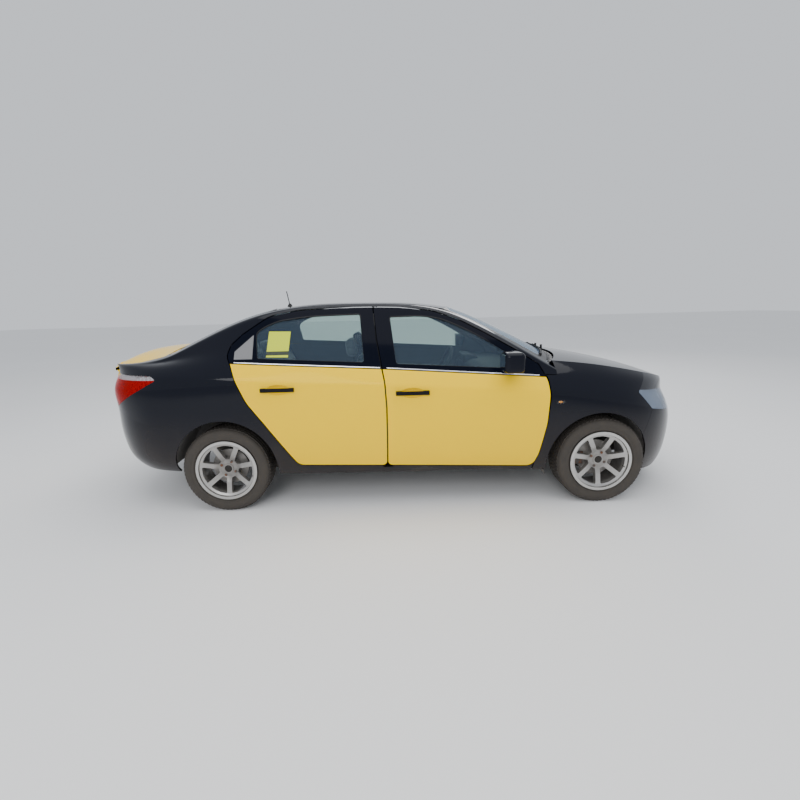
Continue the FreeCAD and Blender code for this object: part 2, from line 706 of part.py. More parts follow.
# Front wings, bumper, lamps and grille.
HEADLAMP = [(1655, 795, 8), (1668, 812, 8), (1800, 960), (2400, 960), (2400, 598), (2085, 604, 200), (1772,
    670, 30)]
LAMP_INNER = 400
BUMPER_SEAM_FRONT = [(1560, 0), (1700, 498), (1772, 670), (1850, 662), (1850, 960), (2400, 960), (2400, 0)]
door_side = [(800, 1200), (800, 0), (925 + GAP, 0), (925 + GAP, 284), (960 + GAP, 383), (1003 + GAP, 604),
             (1016 + size("hinge_gap"), 800), (1008 + size("hinge_gap"), 905), (1000, 960), (1000, 1200)]
fender = wrap(OUTLINE_ROWS, WING_COLUMNS[:-1], 0, size("fender_skin"))
fender = fender.cut(prism(door_side, Y_OUT, Y_IN))
above_foot = [(900, PILLAR_FOOT[0][1] - 3), (PILLAR_FOOT[1][0], PILLAR_FOOT[1][1] - 3), (PILLAR_FOOT[1][0],
    1300), (900, 1300)]
fender = fender.cut(prism(above_foot, Y_OUT, Y_IN))
fender = fender.cut(arch_cutter(FRONT_ARCH, size("arch_radius")))
fender = fender.cut(prism(inset(HEADLAMP, -1), Y_OUT, Y_IN))
fender = fender.cut(prism(inset(BUMPER_SEAM_FRONT, -0.5), Y_OUT, Y_IN))
pair("fender", max(fender.Solids, key=lambda s: s.Volume))


def through(outline, low=-1100, high=1100):
    return prism(outline, low, high)


def arches(centre, radius):
    return Part.makeCylinder(radius, 2400, centre + Vector(0, 1200, 0), Vector(0, -1, 0))


bumper = wrap(OUTLINE_ROWS, FRONT_COLUMNS, 0, size("bumper_wall"))
bumper = bumper.common(through(inset(BUMPER_SEAM_FRONT, 1.0)))
bumper = bumper.cut(arches(FRONT_ARCH, size("arch_radius")))
for hand in (-1, 1):
    inner, outer = sorted((hand * (LAMP_INNER - 1), hand * 1100))
    bumper = bumper.cut(prism(inset(HEADLAMP, -1), inner, outer))
GRILLE_UPPER = (655, 762, 372)
GRILLE_LOWER = (300, 455, 470)
bars = []
for low, high, half in (GRILLE_UPPER, GRILLE_LOWER):
    bumper = bumper.cut(box(2000, 2400, -half, half, low, high))
    plate = wrap(OUTLINE_ROWS, FRONT_COLUMNS, 5, 15)
    plate = plate.common(box(2000, 2400, SEAT - half, half - SEAT, low + SEAT, high - SEAT))
    count = 4 if low > 500 else 5
    pitch = (high - low) / count
    for i in range(count):
        plate = plate.cut(box(2000, 2400, 14 - half, half - 14, low + i * pitch + 5, low + (i + 1) * pitch
            - 5))
    bars.append(plate)
bumper = bumper.cut(bonnet_prism(0.5, 0, 770, 1200))
node("front_bumper", max(bumper.Solids, key=lambda s: s.Volume))
node("grille", Part.makeCompound([s for plate in bars for s in plate.Solids]))
lens = wrap(OUTLINE_ROWS, WING_COLUMNS, 0, 5).common(prism(HEADLAMP, Y_OUT, -LAMP_INNER))
node("headlamps", Part.makeCompound([lens, mirrored(lens)]))

# Rear bumper, tail lamps and boot lid.
rear_bumper = wrap(OUTLINE_ROWS, REAR_COLUMNS, 0, size("bumper_wall")).common(through(BUMPER_SEAM_REAR))
node("rear_bumper", rear_bumper.cut(arches(REAR_ARCH, size("arch_radius"))))
lamp = wrap(OUTLINE_ROWS, QUARTER_COLUMNS, 0, 28).common(prism(TAIL_LAMP, Y_OUT, -560))
node("tail_lamps", Part.makeCompound([lamp, mirrored(lamp)]))

def lid_grid(inner):
    grid = []
    deck = (LID_FRONT + 40, LID_FRONT - 60, -1900, -1990, -2060, -2100)
    for x in deck:
        grid.append([Vector(x, y, deck_top(x, y) - inner) for y in LID_Y])
    for name, back in (("shut", 0.55), ("shoulder", 0.8), ("belt", 1), ("crease", 1), ("upper", 1), ("waist",
        1)):
        line = []
        for y in LID_Y:
            x = ROWS[name].tail_at(y)
            z = ROWS[name].level(x, y)
            line.append(Vector(x + inner * back, y, z - inner * (1 - back)))
        grid.append(line)
    return grid


lid_slab = slab(lid_grid(0), lid_grid(size("lid_wall")))
front_line = [(LID_FRONT + LID_BOW * y * y, y) for y in span(-650, 650, 9)]
lid = lid_slab.common(prism(front_line + [(-2400, 650), (-2400, -650)], 600, 1300, "xy"))
lid = lid.common(box(-2400, -1500, -800, 800, 770, 1300))
lid = lid.cut(prism([(-2000, 1004), (-2400, 1004), (-2400, 700), (-2000, 700)], -800, -554))
lid = lid.cut(prism([(-2000, 1004), (-2400, 1004), (-2400, 700), (-2000, 700)], 554, 800))
LID_AXIS = Vector(-1640, 0, 1105)
neck = tube(LID_AXIS + Vector(0, -7, 0), Vector(0, 1, 0), 136, 14, 116)
neck = neck.common(prism([(-1640, 1105), (-1900, 1105 - 24), (-1900, 900), (-1640 + 8, 900)], -20, 20))
neck = joined(neck, box(-1648, -1632, -7, 7, 975, 1105), tube(LID_AXIS + Vector(0, -7, 0), Vector(0, 1, 0),
    11, 14))
ARM_Y = (-500, 500)
arms = []
for y in ARM_Y:
    arm = neck.copy()
    arm.translate(Vector(0, y, 0))
    arms.append(arm)
node("boot_lid", joined(lid, *arms))

# Frame round the boot opening: deck strip, gutter and back panel.
def deck_point(x, y):
    return Vector(x, y, deck_top(x, y))


DECK_Y = [592 * s for s in (-1, -0.8, -0.5, 0, 0.5, 0.8, 1)]
DECK_X = (-1690, -1740, -1800, -1900, -2000, -2060, -2105)
gutter = top_slab(DECK_X, DECK_Y, deck_point, 45, 53)
lid_inside = [(ROWS["belt"].tail_at(y) + size("lid_wall") + 14, y) for y in (550, 400, 200, 0, -200, -400,
    -550)]
gutter_plan = [(-1650, -592), (-1960, -592), (-1960, -550)] + lid_inside[::-1] + [(-1960, 550), (-1960, 592),
    (-1650, 592)]
gutter = gutter.common(prism(gutter_plan, 800, 1300, "xy"))
opening = [(-1728, -538, 30)] + [(x + 40, y * 0.978, 60) for x, y in lid_inside[::-1]] + [(-1728, 538, 30)]
gutter = gutter.cut(prism(opening, 800, 1300, "xy"))


def strip_grid(drop):
    rows = []
    for share in (0, 0.33, 0.67, 1):
        row = []
        for y in DECK_Y:
            x0 = BACK_BASE - 4 + BACKLIGHT_BOW * y * y
            x1 = LID_FRONT + GAP + 2 + LID_BOW * y * y
            z0, z1 = cabin_top(x0, y) - 3, deck_top(x1, y) - 1
            row.append(Vector(x0 + share * (x1 - x0), y, z0 + share * (z1 - z0) - drop))
        rows.append(row)
    return rows


strip = slab(strip_grid(0), strip_grid(8))
riser = top_slab((-1690, -1695, -1700, -1705), DECK_Y, deck_point, 0, 50).common(box(-1703, -1692, -592, 592,
    900, 1300))
rear_deck = joined(strip, riser, gutter)
for y in ARM_Y:
    rear_deck = rear_deck.cut(box(-1760, -1600, y - 14, y + 14, 980, 1098))
node("rear_deck", Part.makeCompound([rear_deck]))

# Cowl below the windscreen, with the wipers.
COWL_Y = [680 * s for s in (-1, -0.8, -0.5, 0, 0.5, 0.8, 1)]


def cowl_grid(drop):
    rows = []
    for share, sink in ((0, 4), (0.35, 12), (0.7, 13), (1, 10)):
        row = []
        for y in COWL_Y:
            x0 = SCREEN_BASE + 4.2 - SCREEN_BOW * y * y
            x1 = BONNET_REAR - GAP - 1 - BONNET_REAR_BOW * y * y
            z0, z1 = cabin_top(x0, y), bonnet_top(x1, y)
            row.append(Vector(x0 + share * (x1 - x0), y, z0 + share * (z1 - z0) - sink - drop))
        rows.append(row)
    return rows


cowl = slab(cowl_grid(0), cowl_grid(8)).cut(bonnet_prism(0.5, GAP + 1, 900, 1100))
wipers = []
for y0, y1, pivot in ((-610, -60, -90), (20, 600, 40)):
    blade = top_slab(span(SCREEN_BASE - 52, SCREEN_BASE - 40, 4), span(y0, y1, 7), top_point, -15, -0.7)
    base = span(SCREEN_BASE - 44, SCREEN_BASE + 40, 4)
    arm = top_slab(base, span(pivot, pivot + 16, 4), top_point, -22, -10)
    spindle = tube(Vector(SCREEN_BASE + 30, pivot + 8, 900), Vector(0, 0, 1), 9, 170)
    spindle = spindle.cut(slab(cowl_grid(-SEAT), cowl_grid(200)))
    spindle = max(spindle.Solids, key=lambda s: s.CenterOfMass.z)
    wipers.append(joined(blade, arm, spindle))
node("cowl_and_wipers", Part.makeCompound([cowl] + wipers))

# Floor, bulkheads, parcel shelf and inner wings.
def sheet_path(points, thickness):
    """Outline of a bent sheet that follows an open path."""
    offset = []
    for i, (x, z) in enumerate(points):
        a, b = points[max(i - 1, 0)], points[min(i + 1, len(points) - 1)]
        n = Vector(-(b[1] - a[1]), b[0] - a[0], 0)
        n.normalize()
        offset.append((x + n.x * thickness, z + n.y * thickness))
    return list(points) + offset[::-1]


FLOOR = 235
REAR_FLOOR = 395
side_clear = side_slab(BODY_STATIONS, -60, [d + SEAT + 0.7 for d in depths])
side_clear = [side_clear, mirrored(side_clear)]
floor_path = [(1128, 958), (1088, 930), (1078, 560), (930, FLOOR), (-430, FLOOR), (-500, 350), (-960, 372),
              (-1010, REAR_FLOOR), (-2020, REAR_FLOOR), (-2105, 440), (-2122, 700)]
floor = prism(sheet_path(floor_path, size("floor_sheet")), -715, 715)
shelf_path = [(-1012, 380), (-1186, 1052), (-1612, 1052)]
shelf = prism(sheet_path(shelf_path, 10), -700, 700)
tunnel = box(-430, 1000, -95, 95, FLOOR - 8, FLOOR + 70)
inner_wings = [box(1080, 1990, s * 448 - 7, s * 448 + 7, 250, 790) for s in (-1, 1)]
towers = [box(1325, 1495, 448, 640, 800, 812), box(1325, 1495, -640, -448, 800, 812),
          box(1325, 1495, 441, 455, 780, 812), box(1325, 1495, -455, -441, 780, 812)]
slam = box(1985, 1999, -455, 455, 250, 778)
stops = [tube(Vector(1992, y, 770), Vector(0, 0, 1), 11, 120) for y in (-380, 380)]
under_bonnet = top_slab(BONNET_X, BONNET_Y, bonnet_point, -60, size("bonnet_wall") + SEAT)
stops = [stop.cut(under_bonnet) for stop in stops]
brackets = [box(-1655, -1600, s * 512 - 4.7, s * 512 + 4.7, 1046, 1122) for s in (-1, 1)]
WHEELHOUSE = size("arch_radius") + 17
WHEELHOUSE_IN = 520
rear_holes = [Part.makeCylinder(WHEELHOUSE + SEAT, 400, REAR_ARCH + Vector(0, s * (WHEELHOUSE_IN - SEAT), 0),
    Vector(0, s, 0))
              for s in (-1, 1)]
floor_pan = joined(floor, shelf, tunnel, *inner_wings, *towers, slam, *stops, *brackets)
front_holes = [Part.makeCylinder(size("arch_radius") + 13 + SEAT, 400, FRONT_ARCH + Vector(0, s * 455, 0),
    Vector(0, s, 0))
               for s in (-1, 1)]
for tool in side_clear + rear_holes + front_holes:
    floor_pan = floor_pan.cut(tool)
node("floor_pan", max(floor_pan.Solids, key=lambda s: s.Volume))

# Wheel-arch liners.
STRUT_Y = 560
liners = []
front_clear = wrap(OUTLINE_ROWS, WING_COLUMNS[:-1], -40, 17)
for centre, start, stop, low in ((FRONT_ARCH, 455 + SEAT, 845, 215), (REAR_ARCH, WHEELHOUSE_IN, 850, 352)):
    radius = WHEELHOUSE if centre is REAR_ARCH else size("arch_radius") + 13
    shell = Part.makeCylinder(radius, stop - start, centre + Vector(0, -start, 0), Vector(0, -1, 0))
    depth = stop - start if centre is FRONT_ARCH else stop - start - 4
    hollow = Part.makeCylinder(radius - 4, depth, centre + Vector(0, -stop, 0), Vector(0, 1, 0))
    shell = shell.cut(hollow).cut(box(-2400, 2400, -1000, 0, 0, low))
    if centre is FRONT_ARCH:
        shell = shell.cut(front_clear).cut(side_clear[0])
        shell = shell.cut(tube(Vector(FRONT_AXLE, -STRUT_Y, 500), Vector(0, 0, 1), 34, 400))
    else:
        shell = shell.cut(side_clear[0]).cut(wrap(OUTLINE_ROWS, QUARTER_COLUMNS, -40, 17))
    liners.append(max(shell.Solids, key=lambda s: s.Volume))
node("wheel_arch_liners", Part.makeCompound(liners + [mirrored(s) for s in liners]))

# Running gear under the floor.
ARM_TOP = 205
subframe = [box(1235, 1335, -425, 425, 195, 280 - SEAT)]
for s in (-1, 1):
    subframe.append(box(1235, 1960, s * 380 - 35, s * 380 + 35, 225, 280 - SEAT))
    wishbone = [(1250, s * 400, 10), (1330, s * 400, 10), (FRONT_AXLE + 22, s * 660, 15), (FRONT_AXLE + 18,
        s * 705, 15),
                (FRONT_AXLE - 18, s * 705, 15), (FRONT_AXLE - 24, s * 655, 15)]
    subframe.append(prism(wishbone, ARM_TOP - 26, ARM_TOP, "xy"))
    subframe.append(tube(Vector(FRONT_AXLE, s * STRUT_Y, ARM_TOP - 6), Vector(0, 0, 1), 25, 800 - SEAT
        - ARM_TOP + 6))
    subframe.append(tube(Vector(FRONT_AXLE, s * STRUT_Y, 700), Vector(0, 0, 1), 46, 90))
node("front_subframe", joined(*subframe))
engine = box(1345, 1860, -400, 340, 280, 790)
node("engine_block", engine.makeFillet(30, [e for e in engine.Edges if e.BoundBox.ZLength > 400]))
half_rear = size("track_rear") / 2
beam = [tube(Vector(-1060, -585, 275), Vector(0, 1, 0), 32, 1170)]
for s in (-1, 1):
    arm = prism([(-830, 250, 20), (-830, 318, 20), (-1080, 330, 40), (-1300, 345, 20), (-1300, 270, 20),
        (-1080, 240, 40)],
                min(s * 560, s * 625), max(s * 560, s * 625))
    beam.append(arm)
    beam.append(tube(Vector(REAR_AXLE, s * 600, TYRE), Vector(0, s, 0), 34, half_rear - 600 + 12 - SEAT))
    beam.append(tube(Vector(REAR_AXLE - 36, s * 588, 300), Vector(0, 0, 1), 21, 386))
    beam.append(tube(Vector(-1130, s * 470, 285), Vector(0, 0, 1), 46, REAR_FLOOR - size("floor_sheet")
        - SEAT - 285))
    beam.append(box(-1170, -1090, min(s * 425, s * 575), max(s * 425, s * 575), 262, 286))
node("rear_axle_beam", joined(*beam))

PIPE_Y = 290
PIPE_Z = 188
PIPE_RADIUS = 24


def pipe(points, radius, bend):
    """Round pipe along straight runs joined by tangent arcs."""
    edges, last = [], points[0]
    for a, p, b in zip(points, points[1:], points[2:]):
        back, ahead = a - p, b - p
        turn = math.pi - back.getAngle(ahead)
        back.normalize()
        ahead.normalize()
        reach = bend * math.tan(turn / 2)
        start, end = p + back * reach, p + ahead * reach
        middle = back + ahead
        middle.normalize()
        mid = p + middle * (bend / math.cos(turn / 2) - bend)
        edges.append(Part.LineSegment(last, start).toShape())
        edges.append(Part.Arc(start, mid, end).toShape())
        last = end
    edges.append(Part.LineSegment(last, points[-1]).toShape())
    path = Part.Wire(edges)
    ring = Part.Wire(Part.Circle(points[0], points[1] - points[0], radius).toShape())
    return path.makePipeShell([ring], True, False)


run = [Vector(1345 - SEAT, PIPE_Y - 40, 400), Vector(1180, PIPE_Y - 40, 400), Vector(1120, PIPE_Y, PIPE_Z),
       Vector(-1300, PIPE_Y, PIPE_Z), Vector(-1640, PIPE_Y, 290)]
silencer = prism([(-1620, 230, 50), (-1620, 372, 50), (-1880, 372, 50), (-1880, 230, 50)], -250, 420)
tail_pipe = pipe([Vector(-1870, 380, 290), Vector(-1970, 395, 256), Vector(-2150, 420, 250)], PIPE_RADIUS, 60)
node("exhaust", joined(pipe(run, PIPE_RADIUS, 60), silencer, tail_pipe))
tank = prism([(-520, 200, 30), (-520, 334, 20), (-930, 356, 30), (-930, 200, 40)], -480, PIPE_Y - 50)
node("fuel_tank", tank)

# Cabin.
dash_outline = [(1066, 905, 10), (720, 925, 60), (650, 890, 40), (640, 790, 40), (700, 690, 60), (790, 540,
    60), (960, 520, 20), (1066, 640, 20)]
dash = prism(dash_outline, -690, 690)
hood = prism([(640, 880, 20), (648, 965, 20), (740, 955, 40), (800, 900, 10)], 215, 525)
console = prism([(-120, 300, 20), (-120, 470, 40), (300, 455, 60), (640, 520, 60), (760, 700, 20), (900,
    700), (900, 300)], -92, 92)
shift = tube(Vector(330, 0, 450), Vector(-0.15, 0, 1), 9, 110)
knob = Part.makeSphere(24, Vector(313, 0, 570))
WHEEL_CENTRE = Vector(470, 370, 845)
WHEEL_TILT = 24
to_driver = Vector(-math.cos(math.radians(WHEEL_TILT)), 0, math.sin(math.radians(WHEEL_TILT)))
column = tube(WHEEL_CENTRE - to_driver * (45 + SEAT), to_driver * -1, 32, 220)
dashboard = joined(dash, hood, console, shift, knob, column)
for tool in side_clear:
    dashboard = dashboard.cut(tool)
tunnel_clear = box(-430, 1000, -95 - SEAT, 95 + SEAT, FLOOR, FLOOR + 70 + SEAT)
dashboard = dashboard.cut(tunnel_clear)
node("dashboard", max(dashboard.Solids, key=lambda s: s.Volume))

wheel_radius = size("steering_wheel_radius")
ring = Part.makeTorus(wheel_radius, 15)
hub = tube(Vector(0, 0, -45), Vector(0, 0, 1), 62, 42)
spokes = [box(0, wheel_radius - 4, -20, 20, -26, -12) for _ in range(3)]
for spoke, turn in zip(spokes, (0, 180, 270)):
    spoke.rotate(Vector(0, 0, 0), Vector(0, 0, 1), turn)
steering_wheel = joined(ring, hub, *spokes)
steering_wheel.rotate(Vector(0, 0, 0), Vector(0, 0, 1), 90)
steering_wheel.rotate(Vector(0, 0, 0), Vector(0, 1, 0), WHEEL_TILT - 90)
steering_wheel.translate(WHEEL_CENTRE)
node("steering_wheel", steering_wheel)


def cushion(outline, low, high, radius):
    made = prism(outline, low, high)
    rims = [e for e in made.Edges if e.BoundBox.YLength < 1]
    return made.makeFillet(radius, rims)


FLOOR_TOP = FLOOR
seats = []
for y in (-370, 370):
    base = box(-60, 330, y - 190, y + 190, FLOOR_TOP + SEAT, 345)
    squab = cushion([(-140, 335, 40), (385, 330, 45), (410, 455, 45), (300, 505, 120), (-110, 470, 40)], y
        - 245, y + 245, 26)
    back = cushion([(-60, 430, 40), (-185, 440, 50), (-385, 985, 50), (-290, 1020, 45), (-225, 930, 120)], y
        - 235, y + 235, 26)
    rest = cushion([(-305, 1040, 30), (-395, 1040, 35), (-415, 1190, 38), (-325, 1205, 38)], y - 125, y
        + 125, 20)
    posts = [tube(Vector(-335, y + s, 960), Vector(-0.12, 0, 1), 7, 110) for s in (-60, 60)]
    seats.append(joined(base, squab, back, rest, *posts))
node("front_seats", Part.makeCompound(seats))
bench_seat = cushion([(-560, 372, 20), (-930, 392, 20), (-900, 505, 30), (-520, 535, 100), (-425, 500, 45),
    (-440, 395, 40)], -640, 640, 24)
bench_back = cushion([(-870, 470, 30), (-985, 440, 20), (-1158, 1035, 30), (-1090, 1060, 40), (-1020, 960,
    120)], -630, 630, 24)
rests = []
for y in (-370, 0, 370):
    rests.append(cushion([(-1085, 1056, 25), (-1160, 1056, 25), (-1180, 1165, 30), (-1105, 1180, 30)], y
        - 115, y + 115, 18))
    rests.append(tube(Vector(-1120, y, 1020), Vector(0, 0, 1), 20, 70))
bench = joined(bench_seat, bench_back, *rests)
for tool in side_clear + rear_holes:
    bench = bench.cut(tool)
node("rear_bench", max(bench.Solids, key=lambda s: s.Volume))

# Outside details.
root = Vector(-905, 0, cabin_top(-905, 0) + SEAT)
mast = tube(root + Vector(0, 0, 6), Vector(-0.18, 0, 1), 4, 125)
foot = Part.makeCone(24, 10, 26, root, Vector(0, 0, 1))
node("aerial", joined(foot, mast))
shell = box(668, 805, -990, -846, 975, 1112)
shell = shell.makeFillet(34, shell.Edges)
shell = shell.cut(box(650, 674, -978, -858, 990, 1098))
stalk = prism([(712, 984, 10), (790, 978, 10), (800, 1012, 15), (725, 1020, 15)], -860, -760)
pane = box(669.7, 673.7, -975, -861, 993, 1095)
mirror = joined(shell, stalk).cut(side_slab(DOOR_STATIONS, -SEAT, 60))
node("mirror_right", Part.makeCompound([mirror, pane]))
node("mirror_left", mirrored(Part.makeCompound([mirror, pane])))


# Wheels, drawn at the origin with the outer face towards -Y.
def body(label):
    made = doc.addObject("PartDesign::Body", label)
    made.Label = label
    return made


def sketch(host, name, role, outlines=(), circles=()):
    made = host.newObject("Sketcher::SketchObject", name)
    plane = next(f for f in host.Origin.OriginFeatures if f.Role == role)
    made.AttachmentSupport = (plane, [""])
    made.MapMode = "FlatFace"
    for outline in outlines:
        for edge in closed_wire(outline, 0, "xy").Edges:
            curve = edge.Curve
            if isinstance(curve, Part.Circle):
                first, last = edge.FirstParameter, edge.LastParameter
                made.addGeometry(Part.ArcOfCircle(curve, first, last), False)
            else:
                ends = [v.Point for v in edge.Vertexes]
                made.addGeometry(Part.LineSegment(ends[0], ends[1]), False)
    for x, y, radius in circles:
        made.addGeometry(Part.Circle(Vector(x, y, 0), Vector(0, 0, 1), radius), False)
    return made


def revolved(label, outline):
    host = body(label)
    profile = sketch(host, label + "_profile", "YZ_Plane", [outline])
    turned = host.newObject("PartDesign::Revolution", label + "_turned")
    turned.Profile = profile
    turned.ReferenceAxis = (profile, ["H_Axis"])
    turned.Angle = 360
    host.Tip = turned
    return host


half_tyre = size("tyre_width") / 2
bead = size("rim_seat_radius") + SEAT
tyre_outline = [(-80, bead), (-half_tyre, bead + 52), (-half_tyre + 23, TYRE), (half_tyre - 23, TYRE),
    (half_tyre, bead + 52),
                (80, bead)]
seat_radius = size("rim_seat_radius")
half_rim = size("rim_width") / 2
HUB_BACK = -12
rim_outline = [
    (-half_rim - 4, seat_radius - 6), (-half_rim - 4, seat_radius + 13), (-half_rim + 1, seat_radius
        + 13), (-half_rim + 1, seat_radius),
    (half_rim - 1, seat_radius), (half_rim - 1, seat_radius + 13), (half_rim + 4, seat_radius
        + 13), (half_rim + 4, seat_radius - 8),
    (-30, seat_radius - 14), (-38, seat_radius - 22), (-26, 80), (HUB_BACK, 70), (HUB_BACK, 0), (-52,
        0), (-52, 34), (-46, 36), (-44, 62), (-60, 100),
    (-74, seat_radius - 24), (-80, seat_radius - 10)]
disc_outline = [(HUB_BACK + SEAT, 42), (HUB_BACK + SEAT, 72), (2, 78), (2, size("disc_radius")), (22,
    size("disc_radius")), (22, 42)]
tyre = revolved("tyre", tyre_outline)
rim = revolved("rim", rim_outline)
disc = revolved("disc", disc_outline)
doc.recompute()
count = int(size("spoke_count"))
half_angle = math.pi / count
inner_r, outer_r, rib = 72, seat_radius - 24, 17
window = []
for r, side in ((inner_r, -1), (outer_r, -1), (outer_r + 3, 0), (outer_r, 1), (inner_r, 1)):
    turn = side * (half_angle - math.asin(rib / r))
    window.append((r * math.sin(turn), r * math.cos(turn), 9 if side else 150))
cut = sketch(rim, "rim_window", "XZ_Plane", [window])
pocket = rim.newObject("PartDesign::Pocket", "rim_pocket")
pocket.Profile = cut
pocket.Type = 1
pocket.Midplane = True
doc.recompute()
spokes_cut = rim.newObject("PartDesign::PolarPattern", "rim_windows")
spokes_cut.Originals = [pocket]
spokes_cut.Axis = (cut, ["N_Axis"])
spokes_cut.Angle = 360
bind(spokes_cut, Occurrences="Sizes.spoke_count")
rim.Tip = spokes_cut
doc.recompute()


def place_wheel(end, x, track):
    for side, hand in (("right", -1), ("left", 1)):
        spot = Placement(Vector(x, hand * track / 2, TYRE), Rotation(Vector(0, 0, 1), 0 if hand < 0 else 180))
        for label, shapes in ((f"tyre_{end}_{side}", [tyre]), (f"rim_{end}_{side}", [rim, disc])):
            shape = Part.makeCompound([s.Shape
                for s in shapes]) if len(shapes) > 1 else shapes[0].Shape.copy()
            made = node(label, shape.copy())
            made.Placement = spot


place_wheel("front", FRONT_AXLE, size("track_front"))
place_wheel("rear", REAR_AXLE, size("track_rear"))

# Steering knuckles with their brake calipers.
KNUCKLE_IN = 655
half_front = size("track_front") / 2
bearing = tube(Vector(FRONT_AXLE, -KNUCKLE_IN, TYRE), Vector(0, -1, 0), 38, half_front + abs(HUB_BACK) - SEAT
    - KNUCKLE_IN)
upright = box(FRONT_AXLE - 36, FRONT_AXLE + 36, -690, -KNUCKLE_IN, ARM_TOP + SEAT, TYRE + 118)
caliper = box(FRONT_AXLE - 162, FRONT_AXLE - 92, -764, -674, TYRE - 46, TYRE + 46)
slot = tube(Vector(FRONT_AXLE, -half_front - 4, TYRE), Vector(0, 1, 0), size("disc_radius") + 5, 32)
bridge = box(FRONT_AXLE - 110, FRONT_AXLE, -690, -666, TYRE - 30, TYRE + 30)
knuckle = joined(bearing, upright, caliper.cut(slot), bridge)
pair("knuckle", knuckle)

doc.recompute()
faults = [o.Name for o in doc.Objects if "Invalid" in o.State or "Error" in o.State]
faults += [made.Label for made in NODES if made.Shape.isNull() or not made.Shape.isValid()]
if faults:
    raise RuntimeError("not built: " + ", ".join(faults))
os.makedirs("parts", exist_ok=True)
for made in NODES:
    made.Shape.exportStep(f"parts/{made.Label}.step")
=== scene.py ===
import math

import bmesh
import bpy
from mathutils import Matrix, Vector
from mathutils.bvhtree import BVHTree


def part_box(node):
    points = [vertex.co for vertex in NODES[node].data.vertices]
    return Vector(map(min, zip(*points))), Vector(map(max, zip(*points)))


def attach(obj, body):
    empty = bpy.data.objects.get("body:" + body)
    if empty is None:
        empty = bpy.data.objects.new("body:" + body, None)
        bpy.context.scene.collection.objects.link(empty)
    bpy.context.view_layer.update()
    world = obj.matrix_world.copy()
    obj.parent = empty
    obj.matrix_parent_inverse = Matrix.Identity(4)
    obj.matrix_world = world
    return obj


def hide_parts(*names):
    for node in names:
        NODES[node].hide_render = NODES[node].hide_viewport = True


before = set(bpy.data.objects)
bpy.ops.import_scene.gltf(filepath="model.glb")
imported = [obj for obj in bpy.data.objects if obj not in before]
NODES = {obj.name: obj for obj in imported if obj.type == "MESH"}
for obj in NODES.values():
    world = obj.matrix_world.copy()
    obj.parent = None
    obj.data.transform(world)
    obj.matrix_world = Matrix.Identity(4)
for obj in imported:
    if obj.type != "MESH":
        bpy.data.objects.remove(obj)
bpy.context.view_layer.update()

bl_info = {
    "name": "Four-door cab finishes",
    "version": (1, 0, 0),
    "blender": (4, 5, 0),
    "location": "3D View > Sidebar > Cab",
    "description": "Paint, glass, tyres, trim, lamps, seats and light for a four-door saloon cab",
    "category": "Object",
}

SIDES = (("right", -1), ("left", 1))
WHEELS = [(f"{end}_{side}", sign) for end in ("front", "rear") for side, sign in SIDES]
PILLAR_X, PILLAR_BELT = -0.119, 1.013
REAR_BELT_FALL, FRONT_BELT_FALL = 0.0594, 0.0745
SKIN_REACH = 1.3
AXLE_TURN = (math.pi / 2, 0, 0)
NOWHERE = Vector((0, 0, 0))
SAME_POINT = 1e-6


def belt_height(x):
    """Height of the line where the doors' sheet metal meets the side glass."""
    fall = FRONT_BELT_FALL if x > PILLAR_X else REAR_BELT_FALL
    return PILLAR_BELT - (x - PILLAR_X) * fall


class Value:
    """A number that varies over a surface; Python's operators on it add Math nodes."""

    def __init__(self, tree, socket):
        self.tree = tree
        self.socket = socket

    def maths(self, operation, *values, clamp=False):
        made = self.tree.nodes.new("ShaderNodeMath")
        made.operation = operation
        made.use_clamp = clamp
        for socket, value in zip(made.inputs, values):
            if isinstance(value, Value):
                self.tree.links.new(value.socket, socket)
            else:
                socket.default_value = value
        return Value(self.tree, made.outputs[0])

    def __add__(self, other):
        return self.maths("ADD", self, other)

    def __sub__(self, other):
        return self.maths("SUBTRACT", self, other)

    def __rsub__(self, other):
        return self.maths("SUBTRACT", other, self)

    def __mul__(self, other):
        return self.maths("MULTIPLY", self, other)

    def __truediv__(self, other):
        return self.maths("DIVIDE", self, other)

    def __gt__(self, other):
        return self.maths("GREATER_THAN", self, other)

    def __abs__(self):
        return self.maths("ABSOLUTE", self)

    __radd__ = __add__
    __rmul__ = __mul__

    def sine(self):
        return self.maths("SINE", self)

    def clamped(self):
        return self.maths("ADD", self, 0.0, clamp=True)


class Graph:
    """Nodes of one material or geometry tree."""

    prefix = ""

    def __init__(self, tree):
        self.tree = tree

    def join(self, socket, value):
        if isinstance(value, Value):
            value = value.socket
        if isinstance(value, bpy.types.NodeSocket):
            self.tree.links.new(value, socket)
        else:
            socket.default_value = value

    def node(self, kind, settings=None, sockets=None):
        """One node: its settings are set first, then its sockets by name or number."""
        made = self.tree.nodes.new(self.prefix + kind)
        for name, value in (settings or {}).items():
            setattr(made, name, value)
        for name, value in (sockets or {}).items():
            self.join(made.inputs[name], value)
        return made


